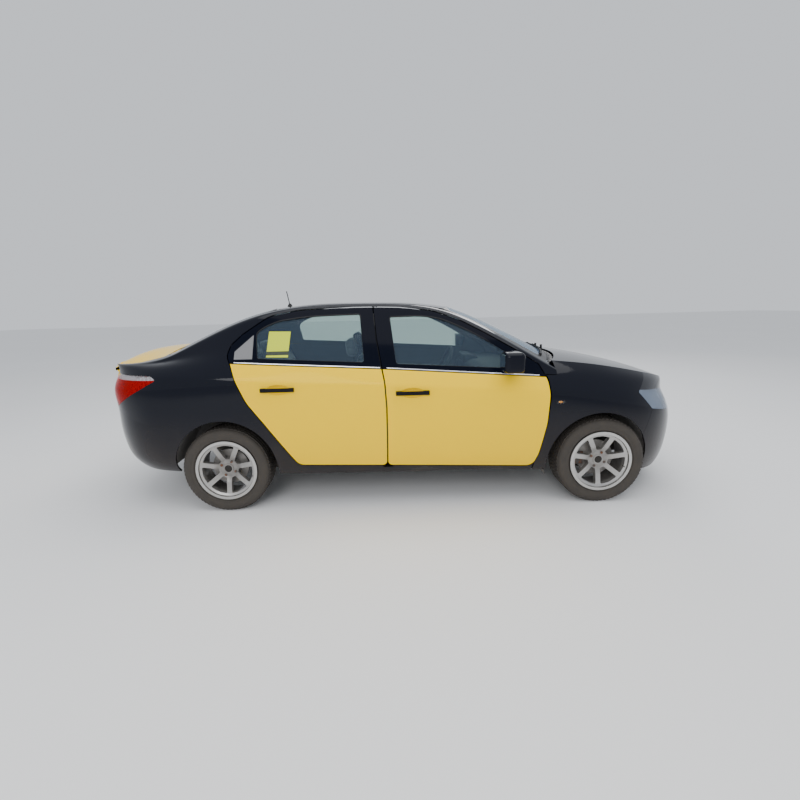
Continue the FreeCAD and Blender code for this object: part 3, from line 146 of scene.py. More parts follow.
class Finish(Graph):
    """A material made of nodes, with the places and patterns that the finishes share."""

    prefix = "ShaderNode"

    def __init__(self, name):
        self.material = bpy.data.materials.new(name)
        self.material.use_nodes = True
        super().__init__(self.material.node_tree)
        self.tree.nodes.clear()
        self.out = self.node("OutputMaterial")
        where = self.node("TexCoord")
        self.where = where.outputs["Object"]
        self.uv = where.outputs["UV"]
        self.x, self.y, self.z = self.parts(self.where)
        self.nx, self.ny, self.nz = self.parts(where.outputs["Normal"])
        self.out_side = self.ny * self.y.maths("SIGN", self.y)

    def parts(self, vector):
        split = self.node("SeparateXYZ", sockets={0: vector})
        return [Value(self.tree, socket) for socket in split.outputs]

    def value(self, kind, output, sockets):
        """One output of a new node, as a value to calculate with."""
        return Value(self.tree, self.node(kind, sockets=sockets).outputs[output])

    def noise(self, scale, detail=3.0):
        return self.value("TexNoise", "Fac", {"Vector": self.where, "Scale": scale, "Detail": detail})

    def cells(self, scale):
        return self.value("TexVoronoi", "Distance", {"Vector": self.where, "Scale": scale})

    def grazing(self, blend):
        """Share of light that a glossy surface throws back, largest along its edge."""
        return self.value("LayerWeight", "Fresnel", {"Blend": blend})

    def fade(self, value, low, high):
        """0 below low and 1 above high, turned round where high is the lower one."""
        if low < high:
            return ((value - low) * (1 / (high - low))).clamped()
        return 1 - ((value - high) * (1 / (low - high))).clamped()

    def within(self, value, low, high, soft=0.001):
        return self.fade(value, low - soft, low) * self.fade(value, high + soft, high)

    def mix(self, share, first, second):
        made = self.node("Mix", {"data_type": "RGBA"}, {0: share, 6: first, 7: second})
        return made.outputs[2]

    def bump(self, height, strength=0.3, depth=0.001):
        sockets = {"Height": height, "Strength": strength, "Distance": depth}
        return self.node("Bump", sockets=sockets).outputs[0]

    def peel(self, scale=240):
        """The faint waves of sprayed paint."""
        return self.bump(self.noise(scale, 1.0), 0.02, 0.0004)

    def surface(self, **sockets):
        named = {name.replace("_", " "): value for name, value in sockets.items()}
        self.shown(self.node("BsdfPrincipled", sockets=named))
        return self.material

    def shown(self, shader):
        self.join(self.out.inputs["Surface"], shader.outputs[0])

    def layered(self, share, below, above):
        """One shader over another, as far as share says."""
        return self.node("MixShader", sockets={0: share, 1: below.outputs[0], 2: above.outputs[0]})

    def dust(self, low=0.0, high=0.7):
        """Road film: thick near the ground, patchy above."""
        patches = self.noise(3.5, 6.0) * 1.3
        return (self.fade(self.z, high, low) * patches).clamped()


class GeometryTree(Graph):
    """A geometry node group with named inputs that ends in Realize Instances and Set Material."""

    prefix = "GeometryNode"

    def __init__(self, name, inputs):
        super().__init__(bpy.data.node_groups.new(name, "GeometryNodeTree"))
        sockets = self.tree.interface
        sockets.new_socket("Geometry", in_out="INPUT", socket_type="NodeSocketGeometry")
        for label, kind, value in inputs:
            made = sockets.new_socket(label, in_out="INPUT", socket_type="NodeSocket" + kind)
            made.default_value = value
        sockets.new_socket("Material", in_out="INPUT", socket_type="NodeSocketMaterial")
        sockets.new_socket("Geometry", in_out="OUTPUT", socket_type="NodeSocketGeometry")
        self.start = self.tree.nodes.new("NodeGroupInput").outputs
        self.end = self.tree.nodes.new("NodeGroupOutput")

    def turned(self, **angles):
        """A rotation from the named ones of its three angles."""
        made = self.tree.nodes.new("ShaderNodeCombineXYZ")
        for name, value in angles.items():
            self.join(made.inputs[name], value)
        return made.outputs[0]

    def finish(self, geometry):
        real = self.node("RealizeInstances", sockets={0: geometry})
        painted = self.node("SetMaterial", sockets={0: real.outputs[0], "Material": self.start["Material"]})
        self.join(self.end.inputs[0], painted.outputs[0])
        return self.tree


def plain_mesh(carrier):
    """An object's mesh as its modifiers leave it."""
    graph = bpy.context.evaluated_depsgraph_get()
    return bpy.data.meshes.new_from_object(carrier.evaluated_get(graph), depsgraph=graph)


def mesh_from(shape, name):
    """A mesh from a bmesh, which is freed."""
    made = bpy.data.meshes.new(name)
    shape.to_mesh(made)
    shape.free()
    return made


def grown(name, finish, values, mesh=None):
    """What the named geometry tree makes of a mesh, or of one point at the origin, as a plain mesh."""
    mesh = mesh or mesh_of("seed", [(0, 0, 0)])
    tree = tree_for(name)
    values = {**values, "Material": finish_for(finish)}
    carrier = bpy.data.objects.new(name + "_carrier", mesh)
    bpy.context.scene.collection.objects.link(carrier)
    modifier = carrier.modifiers.new("Tree", "NODES")
    modifier.node_group = tree
    for item in tree.interface.items_tree:
        if item.item_type == "SOCKET" and item.in_out == "INPUT" and item.name in values:
            modifier[item.identifier] = values[item.name]
    made = plain_mesh(carrier)
    bpy.data.objects.remove(carrier)
    return made


def settled(name, mesh, finish, body, stands_for=(), crease=35):
    """A finished piece at the origin, riding on its body."""
    made = bpy.data.objects.new(name, mesh)
    bpy.context.scene.collection.objects.link(made)
    mesh.materials.clear()
    mesh.materials.append(finish_for(finish))
    mesh.shade_smooth()
    mesh.set_sharp_from_angle(angle=math.radians(crease))
    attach(made, body)
    if stands_for:
        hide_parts(*stands_for)
    return made


def mesh_of(name, points, faces=(), edges=()):
    made = bpy.data.meshes.new(name)
    made.from_pydata([tuple(p) for p in points], list(edges), list(faces))
    made.update()
    return made


def closed_up(mesh, merged=0.0):
    """The mesh with its faces turned outwards, after points closer than merged become one."""
    shape = bmesh.new()
    shape.from_mesh(mesh)
    if merged:
        bmesh.ops.remove_doubles(shape, verts=shape.verts, dist=merged)
    bmesh.ops.recalc_face_normals(shape, faces=shape.faces)
    shape.to_mesh(mesh)
    shape.free()
    return mesh


def turned_profile(name, profile, steps, centre=NOWHERE, axis_y=1.0):
    """A profile of (radius, offset) turned round the wheel's axle, with a UV of turn and run."""
    count = len(profile)
    points, faces = [], []
    for step in range(steps):
        angle = math.tau * step / steps
        ray = Vector((math.cos(angle), 0, math.sin(angle)))
        points += [centre + ray * radius + Vector((0, offset * axis_y, 0)) for radius, offset in profile]
    for step in range(steps):
        after = (step + 1) % steps
        for k in range(count):
            beside = (k + 1) % count
            faces.append((step * count + k, step * count + beside, after * count + beside, after * count + k))
    mesh = mesh_of(name, points, faces)
    layer = mesh.uv_layers.new(name="UVMap")
    for index, face in enumerate(mesh.polygons):
        step, k = divmod(index, count)
        turns = (step, step, step + 1, step + 1)
        runs = (k, k + 1, k + 1, k)
        for loop, turn, run in zip(face.loop_indices, turns, runs):
            layer.data[loop].uv = (turn / steps, run / count)
    return closed_up(mesh)


def skin_of(mesh):
    """A mesh's faces, ready for rays."""
    return BVHTree.FromPolygons([v.co for v in mesh.vertices], [p.vertices for p in mesh.polygons])


def caster(node):
    return skin_of(NODES[node].data)


def on_side(tree, x, z, sign, lift=0.0):
    """The point of a side's outer skin at x and z, lifted off it."""
    hit = tree.ray_cast(Vector((x, sign * SKIN_REACH, z)), Vector((0, -sign, 0)))
    if hit[0] is None:
        return None
    normal = hit[1] if hit[1].y * sign > 0 else -hit[1]
    return hit[0] + normal * lift


def eased(corners, steps=6):
    """A closed outline of (a, b, radius) corners with its corners rounded."""
    line = []
    count = len(corners)
    for k, (a, b, radius) in enumerate(corners):
        here = Vector((a, b))
        before = Vector(corners[k - 1][:2])
        after = Vector(corners[(k + 1) % count][:2])
        back, ahead = before - here, after - here
        reach = min(radius, back.length * 0.45, ahead.length * 0.45)
        start, end = here + back.normalized() * reach, here + ahead.normalized() * reach
        for step in range(steps + 1):
            t = step / steps
            line.append(start * (1 - t) ** 2 + here * (2 * t * (1 - t)) + end * t ** 2)
    return line


def colour(label, text, value):
    return bpy.props.FloatVectorProperty(name=label, description=text, subtype="COLOR", size=4, min=0, max=1,
                                         default=value)


def length(label, text, value):
    return bpy.props.FloatProperty(name=label, description=text, default=value, min=0.0, unit="LENGTH")


class CabPaint(bpy.types.PropertyGroup):
    """Colours of the cab's surfaces."""

    # The faint blue cast of the body black is a painted reflection of the sky.
    black: colour("Body black", "Gloss paint of the body", (0.0020, 0.0030, 0.0080, 1))
    yellow: colour("Cab yellow", "Gloss paint of the doors and the boot lid", (1.0, 0.63, 0.0, 1))
    plastic: colour("Trim black", "Moulded black plastic", (0.012, 0.012, 0.013, 1))
    rubber: colour("Tyre rubber", "Dusty tyre rubber", (0.030, 0.027, 0.024, 1))
    silver: colour("Wheel silver", "Lacquer of the wheels", (0.50, 0.49, 0.47, 1))
    cloth: colour("Seat cloth", "Woven cloth of the seats", (0.045, 0.048, 0.055, 1))
    glass: colour("Glass tint", "Light that the windows let through", (0.86, 0.93, 0.90, 1))
    dust: colour("Road dust", "Film of dust on the lower body", (0.14, 0.11, 0.08, 1))


class CabSizes(bpy.types.PropertyGroup):
    """Sizes of the cab's added pieces."""

    strip: length("Belt strip", "Half the height of the bright strip below the side glass", 0.0038)
    seal: length("Glass seal", "Radius of the rubber round the side glass", 0.005)
    tread_depth: length("Tread depth", "Depth of the grooves between the tread blocks", 0.006)
    tread_blocks: bpy.props.IntProperty(name="Tread blocks", description="Blocks in one ring of the tread",
                                        default=68, min=12, max=160)
    bolt_circle: length("Bolt circle", "Radius at which the wheel bolts stand", 0.054)
    voxel: length("Pad voxel", "Grid size at which the seat pads are remeshed", 0.013)
    pad_cap: length("Pad swell", "Farthest that a point of a pad may swell", 0.012)


MADE = {}
CLEAR_LENS = (0.86, 0.84, 0.84, 1)
# The door grips in x and z, and how far out in y a point belongs to one.
GRIPS = {"front": ((-0.031, 0.195), (0.832, 0.860), (0.8705, 0.8712)),
         "rear": ((-0.941, -0.715), (0.876, 0.904), (0.870, 0.8705))}
# The grey cover behind the rear door's pane in x and z, cut off by a sloping line.
CORNER_COVER = ((-1.130, -1.0045), (1.094, 1.250))
COVER_SLOPE, COVER_TOP = 0.86, (2.118, 2.114)
# Heights between which a finish fades into the next: on the doors from the belt, on the lamps from the ground.
DOOR_BLACK_FROM = (-0.010, -0.008)
HOOD_SLOPE, HOOD_FROM = 0.1, (0.974, 0.976)
BLACK_COAT = {"Coat_Roughness": 0.02, "Specular_IOR_Level": 0.18}
STICKER_BAND = (1.114, 1.139)


def paint_black(paint):
    made = Finish("body_black_paint")
    dust = made.dust(0.05, 0.75)
    inside = made.fade(made.out_side, -0.25, -0.45) * made.fade(made.z, 0.3, 0.4)
    shade = made.mix(dust * 0.35, paint.black, paint.dust)
    trim = made.mix(made.noise(160), (0.035, 0.036, 0.038, 1), (0.055, 0.056, 0.058, 1))
    shade = made.mix(inside, shade, trim)
    rough = made.noise(2.0, 4.0) * 0.05 + 0.05 + dust * 0.35 + inside * 0.6
    return made.surface(Base_Color=shade, Roughness=rough, Coat_Weight=(1 - inside) * 0.12,
                        Normal=made.peel(260), **BLACK_COAT)


def paint_roof(paint):
    """Black paint above, pale headlining below."""
    made = Finish("roof_paint_and_lining")
    below = made.fade(made.nz, -0.3, -0.5)
    weave = made.noise(420, 2.0)
    lining = made.mix(weave, (0.30, 0.30, 0.29, 1), (0.38, 0.38, 0.36, 1))
    return made.surface(Base_Color=made.mix(below, paint.black, lining), Roughness=below * 0.85 + 0.06,
                        Coat_Weight=(1 - below) * 0.12, Normal=made.bump(weave, 0.05, 0.0005), **BLACK_COAT)


def paint_door(paint):
    """Yellow below the glass line, black above, with the grip, the corner cover and the inner trim."""
    made = Finish("door_paint")
    fall = (made.x > PILLAR_X) * (FRONT_BELT_FALL - REAR_BELT_FALL) + REAR_BELT_FALL
    over = made.z - (PILLAR_BELT - (made.x - PILLAR_X) * fall)
    upper = made.fade(over, *DOOR_BLACK_FROM)
    depth = abs(made.y)
    front_grip, rear_grip = [made.within(made.x, *run) * made.within(made.z, *rise) * made.fade(depth, *out)
                             for run, rise, out in GRIPS.values()]
    grip = (front_grip + rear_grip).clamped()
    cover = made.within(made.x, *CORNER_COVER[0]) * made.within(made.z, *CORNER_COVER[1])
    cover = cover * made.fade(made.z - made.x * COVER_SLOPE, *COVER_TOP) * made.fade(made.out_side, 0.3, 0.5)
    inner = made.fade(made.out_side, -0.1, -0.3)
    dust = made.dust(0.2, 0.62)
    yellow = made.mix(dust * 0.10, paint.yellow, paint.dust)
    shade = made.mix(upper, yellow, paint.black)
    shade = made.mix(cover, shade, (0.20, 0.20, 0.205, 1))
    shade = made.mix(grip, shade, paint.plastic)
    cloth = made.mix(made.noise(300), (0.06, 0.062, 0.066, 1), (0.10, 0.10, 0.105, 1))
    shade = made.mix(inner * (1 - cover) * (1 - grip), shade, cloth)
    dull = (inner + cover + grip).clamped()
    return made.surface(Base_Color=shade, Roughness=dull * 0.45 + dust * 0.2 + 0.10,
                        Coat_Weight=(1 - dull) * 0.05, Coat_Roughness=0.03, Specular_IOR_Level=0.05,
                        Normal=made.peel())


def paint_boot(paint):
    made = Finish("boot_lid_paint")
    film = made.noise(4.0, 6.0)
    below = made.fade(made.nz, -0.2, -0.4)
    shade = made.mix(film * 0.08, paint.yellow, paint.dust)
    # Faces of the lid that look downwards are near black: painted shade under the lid.
    return made.surface(Base_Color=made.mix(below, shade, (0.02, 0.02, 0.02, 1)), Roughness=film * 0.08 + 0.08,
                        Coat_Weight=0.10, Coat_Roughness=0.03, Specular_IOR_Level=0.14,
                        Normal=made.peel())


def window_glass(paint, name="window_glass", band=None):
    """Tinted pane: a clear film under a mirror that grows towards grazing, whose pale blue colour is a painted
    sky reflection, with a dark baked rim.
    """
    made = Finish(name)
    clear = made.node("BsdfTransparent", sockets={"Color": paint.glass})
    # Pale blue painted reflection of the sky, shown on the pane even where it faces straight on.
    haze_and_sky_reflection = (0.26, 0.36, 0.52, 1)
    rough = made.noise(2.0) * 0.01 + 0.015
    share = made.grazing(0.3) * 0.7 + 0.05
    if band:
        rim = band(made)
        haze_and_sky_reflection = made.mix(rim, haze_and_sky_reflection, (0.004, 0.004, 0.005, 1))
        rough = rough + rim * 0.35
        share = share + rim
    mirror = made.node("BsdfPrincipled", sockets={"Base Color": haze_and_sky_reflection, "Roughness": rough})
    made.shown(made.layered(share.clamped(), clear, mirror))
    return made.material


def pane_band(made, half, at, taper, inset, foot, top):
    """Dark edge of a pane: half its width at a height, how it tapers, and where each edge fades."""
    sides = made.fade(abs(made.y) - (half - (made.z - at) * taper), -inset, 0.008 - inset)
    return (sides + made.fade(made.z, *foot) + made.fade(made.x, *top)).clamped()


def windscreen_band(made):
    return pane_band(made, 0.707, 1.0, 0.42, 0.048, (1.062, 1.052), (0.395, 0.385))


def rear_window_band(made):
    return pane_band(made, 0.640, 1.13, 0.36, 0.055, (1.178, 1.170), (-0.95, -0.94))


def lamp_cover(paint, name, tint, clear_above=None, hooded=False):
    """Moulded lens: see-through with a hard gloss and faint flutes, and painted above where it is hooded."""
    made = Finish(name)
    shade = tint
    film = made.node("BsdfTransparent", sockets={"Color": tint})
    if clear_above:
        over = made.fade(made.z, clear_above - 0.002, clear_above)
        shade = made.mix(over, tint, CLEAR_LENS)
        film = made.layered(over, film, made.node("BsdfTransparent", sockets={"Color": CLEAR_LENS}))
    flutes = (made.x * 900).sine() * 0.5 + 0.5
    share = made.grazing(0.35) * 0.7 + 0.04
    coat = 1.0
    if hooded:
        hood = made.fade(made.z + made.x * HOOD_SLOPE, *HOOD_FROM)
        shade = made.mix(hood, (0.42, 0.47, 0.55, 1), paint.black)
        share = share + hood
        coat = 1 - hood * 0.88
    skin = made.node("BsdfPrincipled", sockets={
        "Base Color": shade, "Roughness": 0.04, "Coat Weight": coat, "Normal": made.bump(flutes, 0.08, 0.0006)})
    made.shown(made.layered(share.clamped(), film, skin))
    return made.material


def lamp_mirror(paint, name="lamp_mirror", tint=(0.78, 0.80, 0.84, 1), scale=42, hollow_shade=None):
    """Faceted bright metal behind a lens, with painted shade: dark patches where the facets are moulded deeper.
    """
    made = Finish(name)
    facets = made.cells(scale)
    if hollow_shade:
        # The dark colour mixed into the facets is painted shade in their hollows.
        tint = made.mix(made.fade(facets, 0.50, 0.62), tint, hollow_shade)
    return made.surface(Base_Color=tint, Metallic=0.92, Roughness=facets * 0.15 + 0.08,
                        Normal=made.bump(facets, 0.5, 0.006))


def trim_plastic(paint, name="trim_plastic", tint=None, grain=380, dull=0.42):
    made = Finish(name)
    dust = made.dust(0.0, 0.5)
    shade = made.mix(dust * 0.4, tint or paint.plastic, paint.dust)
    pores = made.noise(grain, 3.0)
    return made.surface(Base_Color=shade, Roughness=pores * 0.18 + dull, Specular_IOR_Level=0.25,
                        Normal=made.bump(pores, 0.12, 0.0006))


def arch_felt(paint):
    made = Finish("arch_felt")
    fluff = made.noise(220, 6.0)
    shade = made.mix(fluff, (0.10, 0.10, 0.10, 1), (0.22, 0.21, 0.20, 1))
    shade = made.mix(made.dust(0.2, 0.7) * 0.6, shade, paint.dust)
    return made.surface(Base_Color=shade, Roughness=0.95, Normal=made.bump(fluff, 0.5, 0.002))


def wheel_silver(paint):
    """Lacquered alloy, brown and dull deeper in: brake dust, and painted shade in the spokes and the barrel."""
    made = Finish("wheel_silver")
    # The mix towards dark brown grows with depth into the wheel: mottled brake dust, and painted shade in its
    # recesses.
    depth = made.fade(abs(made.y), 0.835, 0.79)
    brake_dust_and_shade = (depth * (made.noise(28, 5.0) * 0.5 + 0.45)).clamped()
    shade = made.mix(brake_dust_and_shade * 0.85, paint.silver, (0.05, 0.035, 0.025, 1))
    return made.surface(Base_Color=shade, Metallic=1 - brake_dust_and_shade * 0.6, Roughness=brake_dust_and_shade * 0.4 + 0.27,
                        Coat_Weight=0.5, Coat_Roughness=0.08,
                        Normal=made.bump(made.noise(500, 2.0), 0.04, 0.0003))


def tyre_rubber(paint):
    """Dusty rubber with moulded rings and shoulder ribs that follow the tyre's own UV."""
    made = Finish("tyre_rubber")
    turn, run = made.parts(made.uv)[:2]
    ribs = (turn * (math.tau * 220)).sine() * made.within(run, 0.11, 0.17, 0.01)
    rings = (run * (math.tau * 60)).sine() * made.within(run, 0.03, 0.10, 0.005)
    grime = made.noise(18, 6.0)
    shade = made.mix(grime * 0.55, paint.rubber, (0.085, 0.068, 0.052, 1))
    height = ribs * 0.5 + rings * 0.25 + made.noise(300, 2.0) * 0.3
    return made.surface(Base_Color=shade, Roughness=grime * 0.12 + 0.78, Normal=made.bump(height, 0.4, 0.0012))


def seat_cloth(paint):
    """Woven cloth: fine crossed threads, mottled, with a soft sheen."""
    made = Finish("seat_cloth")
    warp = (made.y * 2600).sine() * 0.5 + 0.5
    weft = ((made.x + made.z) * 2600).sine() * 0.5 + 0.5
    threads = warp * weft
    blotch = made.noise(9, 5.0)
    shade = made.mix(threads * 0.5 + blotch * 0.25, paint.cloth, (0.12, 0.125, 0.14, 1))
    return made.surface(Base_Color=shade, Roughness=0.9, Sheen_Weight=0.3, Sheen_Roughness=0.5,
                        Normal=made.bump(threads, 0.35, 0.0008))


def under_paint(paint):
    made = Finish("under_seal")
    crust = made.noise(60, 6.0)
    shade = made.mix(crust, (0.012, 0.012, 0.012, 1), (0.05, 0.042, 0.034, 1))
    above = made.fade(made.nz, 0.5, 0.8) * made.fade(abs(made.y), 0.70, 0.68)
    shade = made.mix(above, shade, (0.028, 0.028, 0.030, 1))
    return made.surface(Base_Color=shade, Roughness=0.88, Normal=made.bump(crust, 0.4, 0.002))


def cast_iron(paint):
    made = Finish("cast_iron")
    rust = made.noise(34, 7.0)
    shade = made.mix(made.fade(rust, 0.45, 0.62), (0.09, 0.085, 0.08, 1), (0.16, 0.07, 0.035, 1))
    return made.surface(Base_Color=shade, Metallic=0.55, Roughness=rust * 0.3 + 0.45,
                        Normal=made.bump(made.noise(160, 4.0), 0.4, 0.001))


def pipe_steel(paint):
    made = Finish("exhaust_steel")
    heat = made.fade(made.x, -0.5, 1.2) * made.noise(5, 3.0)
    shade = made.mix(heat, (0.34, 0.33, 0.31, 1), (0.30, 0.19, 0.10, 1))
    shade = made.mix(made.noise(40, 6.0) * 0.5, shade, (0.10, 0.075, 0.05, 1))
    return made.surface(Base_Color=shade, Metallic=0.85, Roughness=0.45,
                        Normal=made.bump(made.noise(90), 0.1, 0.001))


def bright_strip(paint):
    made = Finish("bright_strip")
    haze_and_sky_reflection = made.noise(30, 5.0)
    shade = made.mix(haze_and_sky_reflection * 0.3, (0.80, 0.81, 0.83, 1), (0.45, 0.46, 0.48, 1))
    return made.surface(Base_Color=shade, Metallic=1.0, Roughness=haze_and_sky_reflection * 0.15 + 0.12)


def mirror_finish(paint):
    """Black housing whose rearward pane is silvered glass."""
    made = Finish("mirror_housing")
    pane = made.fade(made.nx, -0.98, -0.995) * made.fade(made.x, 0.676, 0.674)
    pores = made.noise(420, 2.0)
    return made.surface(Base_Color=made.mix(pane, paint.black, (0.75, 0.78, 0.80, 1)), Metallic=pane,
                        Roughness=(1 - pane) * 0.09 + 0.03, Specular_IOR_Level=0.2,
                        Normal=made.bump(pores * (1 - pane), 0.05, 0.0004))


def sticker_film(paint):
    """Plain two-tone film: yellow-green with one dark band and no print."""
    made = Finish("window_sticker")
    dark = made.within(made.z, *STICKER_BAND)
    frayed = made.noise(120, 4.0)
    shade = made.mix(dark, (0.58, 0.66, 0.01, 1), (0.02, 0.03, 0.02, 1))
    return made.surface(Base_Color=made.mix(frayed * 0.15, shade, (0.5, 0.5, 0.4, 1)),
                        Roughness=frayed * 0.1 + 0.5, Specular_IOR_Level=0.1)


FINISHES = {
    "black": paint_black, "roof": paint_roof, "door": paint_door, "boot": paint_boot, "glass": window_glass,
    "plastic": trim_plastic, "felt": arch_felt, "silver": wheel_silver, "rubber": tyre_rubber,
    "cloth": seat_cloth, "under": under_paint, "iron": cast_iron, "pipe": pipe_steel, "bright": bright_strip,
    "mirror": mirror_finish, "sticker": sticker_film, "lamp_mirror": lamp_mirror,
    "windscreen": lambda paint: window_glass(paint, "windscreen_glass", windscreen_band),
    "rear_glass": lambda paint: window_glass(paint, "rear_window_glass", rear_window_band),
    "lamp": lambda paint: lamp_cover(paint, "headlamp_lens", (0.88, 0.92, 0.97, 1), hooded=True),
    "lamp_red": lambda paint: lamp_cover(paint, "tail_lamp_lens", (0.78, 0.012, 0.010, 1), 0.972),
    # The headlamp case's dark last colour is painted shade in the hollows between its facets.
    "lamp_case": lambda paint: lamp_mirror(paint, "headlamp_case", (0.70, 0.73, 0.78, 1), 34,
                                           (0.05, 0.06, 0.09, 1)),
    "dome": lambda paint: trim_plastic(paint, "projector_glass", (0.045, 0.055, 0.075, 1), 60, 0.02),
    "amber": lambda paint: lamp_mirror(paint, "amber_bulb", (0.85, 0.30, 0.02, 1), 90),
    "cabin": lambda paint: trim_plastic(paint, "cabin_plastic", (0.030, 0.031, 0.033, 1), 520, 0.55),
    "cap": lambda paint: trim_plastic(paint, "wheel_cap_black", (0.006, 0.006, 0.007, 1), 300, 0.2),
}


def finish_for(name):
    if name not in MADE:
        MADE[name] = FINISHES[name](bpy.context.scene.cab_paint)
    return MADE[name]


NODE_FINISH = {
    "roof_panel": "roof", "windscreen": "windscreen", "rear_window": "rear_glass", "boot_lid": "boot",
    "headlamps": "lamp", "tail_lamps": "lamp_red", "wheel_arch_liners": "felt", "floor_pan": "under",
    "front_subframe": "under", "rear_axle_beam": "under", "exhaust": "pipe", "engine_block": "iron",
    "dashboard": "cabin", "steering_wheel": "cabin", "front_seats": "cloth", "rear_bench": "cloth",
}
STEM_FINISH = {
    "front_door_glass": "glass", "rear_door_glass": "glass", "front_door": "door", "rear_door": "door",
    "mirror": "mirror", "rim": "silver", "tyre": "rubber", "knuckle": "iron", "body_side": "black",
    "quarter_panel": "black", "fender": "black", "bonnet": "black", "front_bumper": "black",
    "rear_bumper": "black", "rear_deck": "black", "fuel_flap": "black",
}


class CAB_OT_finishes(bpy.types.Operator):
    """Give every carried-over part its paint, glass, metal or plastic"""

    bl_idname = "cab.finishes"
    bl_label = "Finishes"

    def execute(self, context):
        for name, node in NODES.items():
            stems = [stem for stem in STEM_FINISH if name.startswith(stem)]
            kind = NODE_FINISH.get(name) or (STEM_FINISH[max(stems, key=len)] if stems else "plastic")
            node.material_slots[0].material = finish_for(kind)
        return {"FINISHED"}


def tread_tree():
    """Rings of slanted blocks round the axle."""
    tree = GeometryTree("Tread ring", [
        ("Blocks", "Int", 68), ("Radius", "Float", 0.304), ("Block", "Vector", (0.008, 0.02, 0.03)),
        ("Slant", "Float", 0.0), ("Offset", "Vector", (0, 0, 0)), ("Phase", "Float", 0.0)])
    start = tree.start
    ring = tree.node("MeshCircle", sockets={"Vertices": start["Blocks"], "Radius": start["Radius"]})
    block = tree.node("MeshCube", sockets={"Size": start["Block"]})
    share = Value(tree.tree, tree.node("InputIndex").outputs[0]) / Value(tree.tree, start["Blocks"])
    blocks = tree.node("InstanceOnPoints", sockets={
        "Points": ring.outputs[0], "Instance": block.outputs[0],
        "Rotation": tree.turned(X=start["Slant"], Z=share * math.tau)})
    shifted = tree.node("Transform", sockets={0: blocks.outputs[0], "Rotation": tree.turned(Z=start["Phase"])})
    stood = tree.node("Transform", sockets={
        0: shifted.outputs[0], "Rotation": AXLE_TURN, "Translation": start["Offset"]})
    return tree.finish(stood.outputs[0])


def bolt_tree():
    """Recessed hexagonal bolts on a circle, facing outwards."""
    tree = GeometryTree("Bolt circle", [
        ("Bolts", "Int", 4), ("Radius", "Float", 0.054), ("Head", "Float", 0.0105), ("Length", "Float", 0.012),
        ("Offset", "Vector", (0, 0, 0))])
    start = tree.start
    ring = tree.node("MeshCircle", sockets={"Vertices": start["Bolts"], "Radius": start["Radius"]})
    head = tree.node("MeshCylinder", sockets={"Vertices": 6, "Radius": start["Head"], "Depth": start["Length"]})
    bolts = tree.node("InstanceOnPoints", sockets={"Points": ring.outputs[0], "Instance": head.outputs["Mesh"]})
    stood = tree.node("Transform", sockets={
        0: bolts.outputs[0], "Rotation": (math.pi / 2, 0.45, 0), "Translation": start["Offset"]})
    return tree.finish(stood.outputs[0])


def bead_tree():
    """A round bead swept along a line of edges."""
    tree = GeometryTree("Bead", [("Radius", "Float", 0.005), ("Step", "Float", 0.012)])
    start = tree.start
    line = tree.node("MeshToCurve", sockets={0: start["Geometry"]})
    even = tree.node("ResampleCurve", {"mode": "LENGTH"}, {0: line.outputs[0], "Length": start["Step"]})
    ring = tree.node("CurvePrimitiveCircle", sockets={"Resolution": 10, "Radius": start["Radius"]})
    swept = tree.node("CurveToMesh", sockets={
        0: even.outputs[0], "Profile Curve": ring.outputs[0], "Fill Caps": True})
    return tree.finish(swept.outputs[0])


def stitch_tree():
    """Short thread stitches standing along a line of edges."""
    tree = GeometryTree("Stitches", [("Pitch", "Float", 0.010), ("Thread", "Vector", (0.0014, 0.0014, 0.006))])
    start = tree.start
    line = tree.node("MeshToCurve", sockets={0: start["Geometry"]})
    points = tree.node("CurveToPoints", {"mode": "LENGTH"}, {0: line.outputs[0], "Length": start["Pitch"]})
    thread = tree.node("MeshCube", sockets={"Size": start["Thread"]})
    stitches = tree.node("InstanceOnPoints", sockets={
        "Points": points.outputs["Points"], "Instance": thread.outputs[0],
        "Rotation": points.outputs["Rotation"]})
    return tree.finish(stitches.outputs[0])


def slat_tree():
    """A row of thin slats, each a step above the last."""
    tree = GeometryTree("Slats", [
        ("Slats", "Int", 6), ("Step", "Vector", (0, 0, 0.01)), ("Slat", "Vector", (0.012, 0.1, 0.002)),
        ("Tilt", "Float", 0.35), ("Start", "Vector", (0, 0, 0))])
    start = tree.start
    row = tree.node("MeshLine", sockets={
        "Count": start["Slats"], "Start Location": start["Start"], "Offset": start["Step"]})
    slat = tree.node("MeshCube", sockets={"Size": start["Slat"]})
    slats = tree.node("InstanceOnPoints", sockets={
        "Points": row.outputs[0], "Instance": slat.outputs[0], "Rotation": tree.turned(Y=start["Tilt"])})
    return tree.finish(slats.outputs[0])


TREES = {"tread": tread_tree, "bolts": bolt_tree, "bead": bead_tree, "stitches": stitch_tree,
         "slats": slat_tree}
GROWERS = {}


def tree_for(name):
    if name not in GROWERS:
        GROWERS[name] = TREES[name]()
    return GROWERS[name]


def wheel_middle(name):
    low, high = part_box("tyre_" + name)
    return (low + high) / 2, (high.z - low.z) / 2, (high.y - low.y) / 2


# Radius and inset from the widest place, from the bead to the shoulder.
SIDE_WALL = [(0.2165, 0.019), (0.224, 0.0125), (0.2275, 0.011), (0.2305, 0.006), (0.234, 0.0055),
             (0.238, 0.0065), (0.252, 0.0015), (0.264, 0.0003), (0.276, 0.0015), (0.286, 0.0045),
             (0.2935, 0.009)]
# Place across the tyre, width, slant and share of a block by which the row is turned.
TREAD_ROWS = [(-0.0635, 0.024, 0.16, 0.0), (-0.034, 0.026, -0.14, 0.5), (0.0, 0.028, 0.0, 0.25),
              (0.034, 0.026, 0.14, 0.5), (0.0635, 0.024, -0.16, 0.0)]


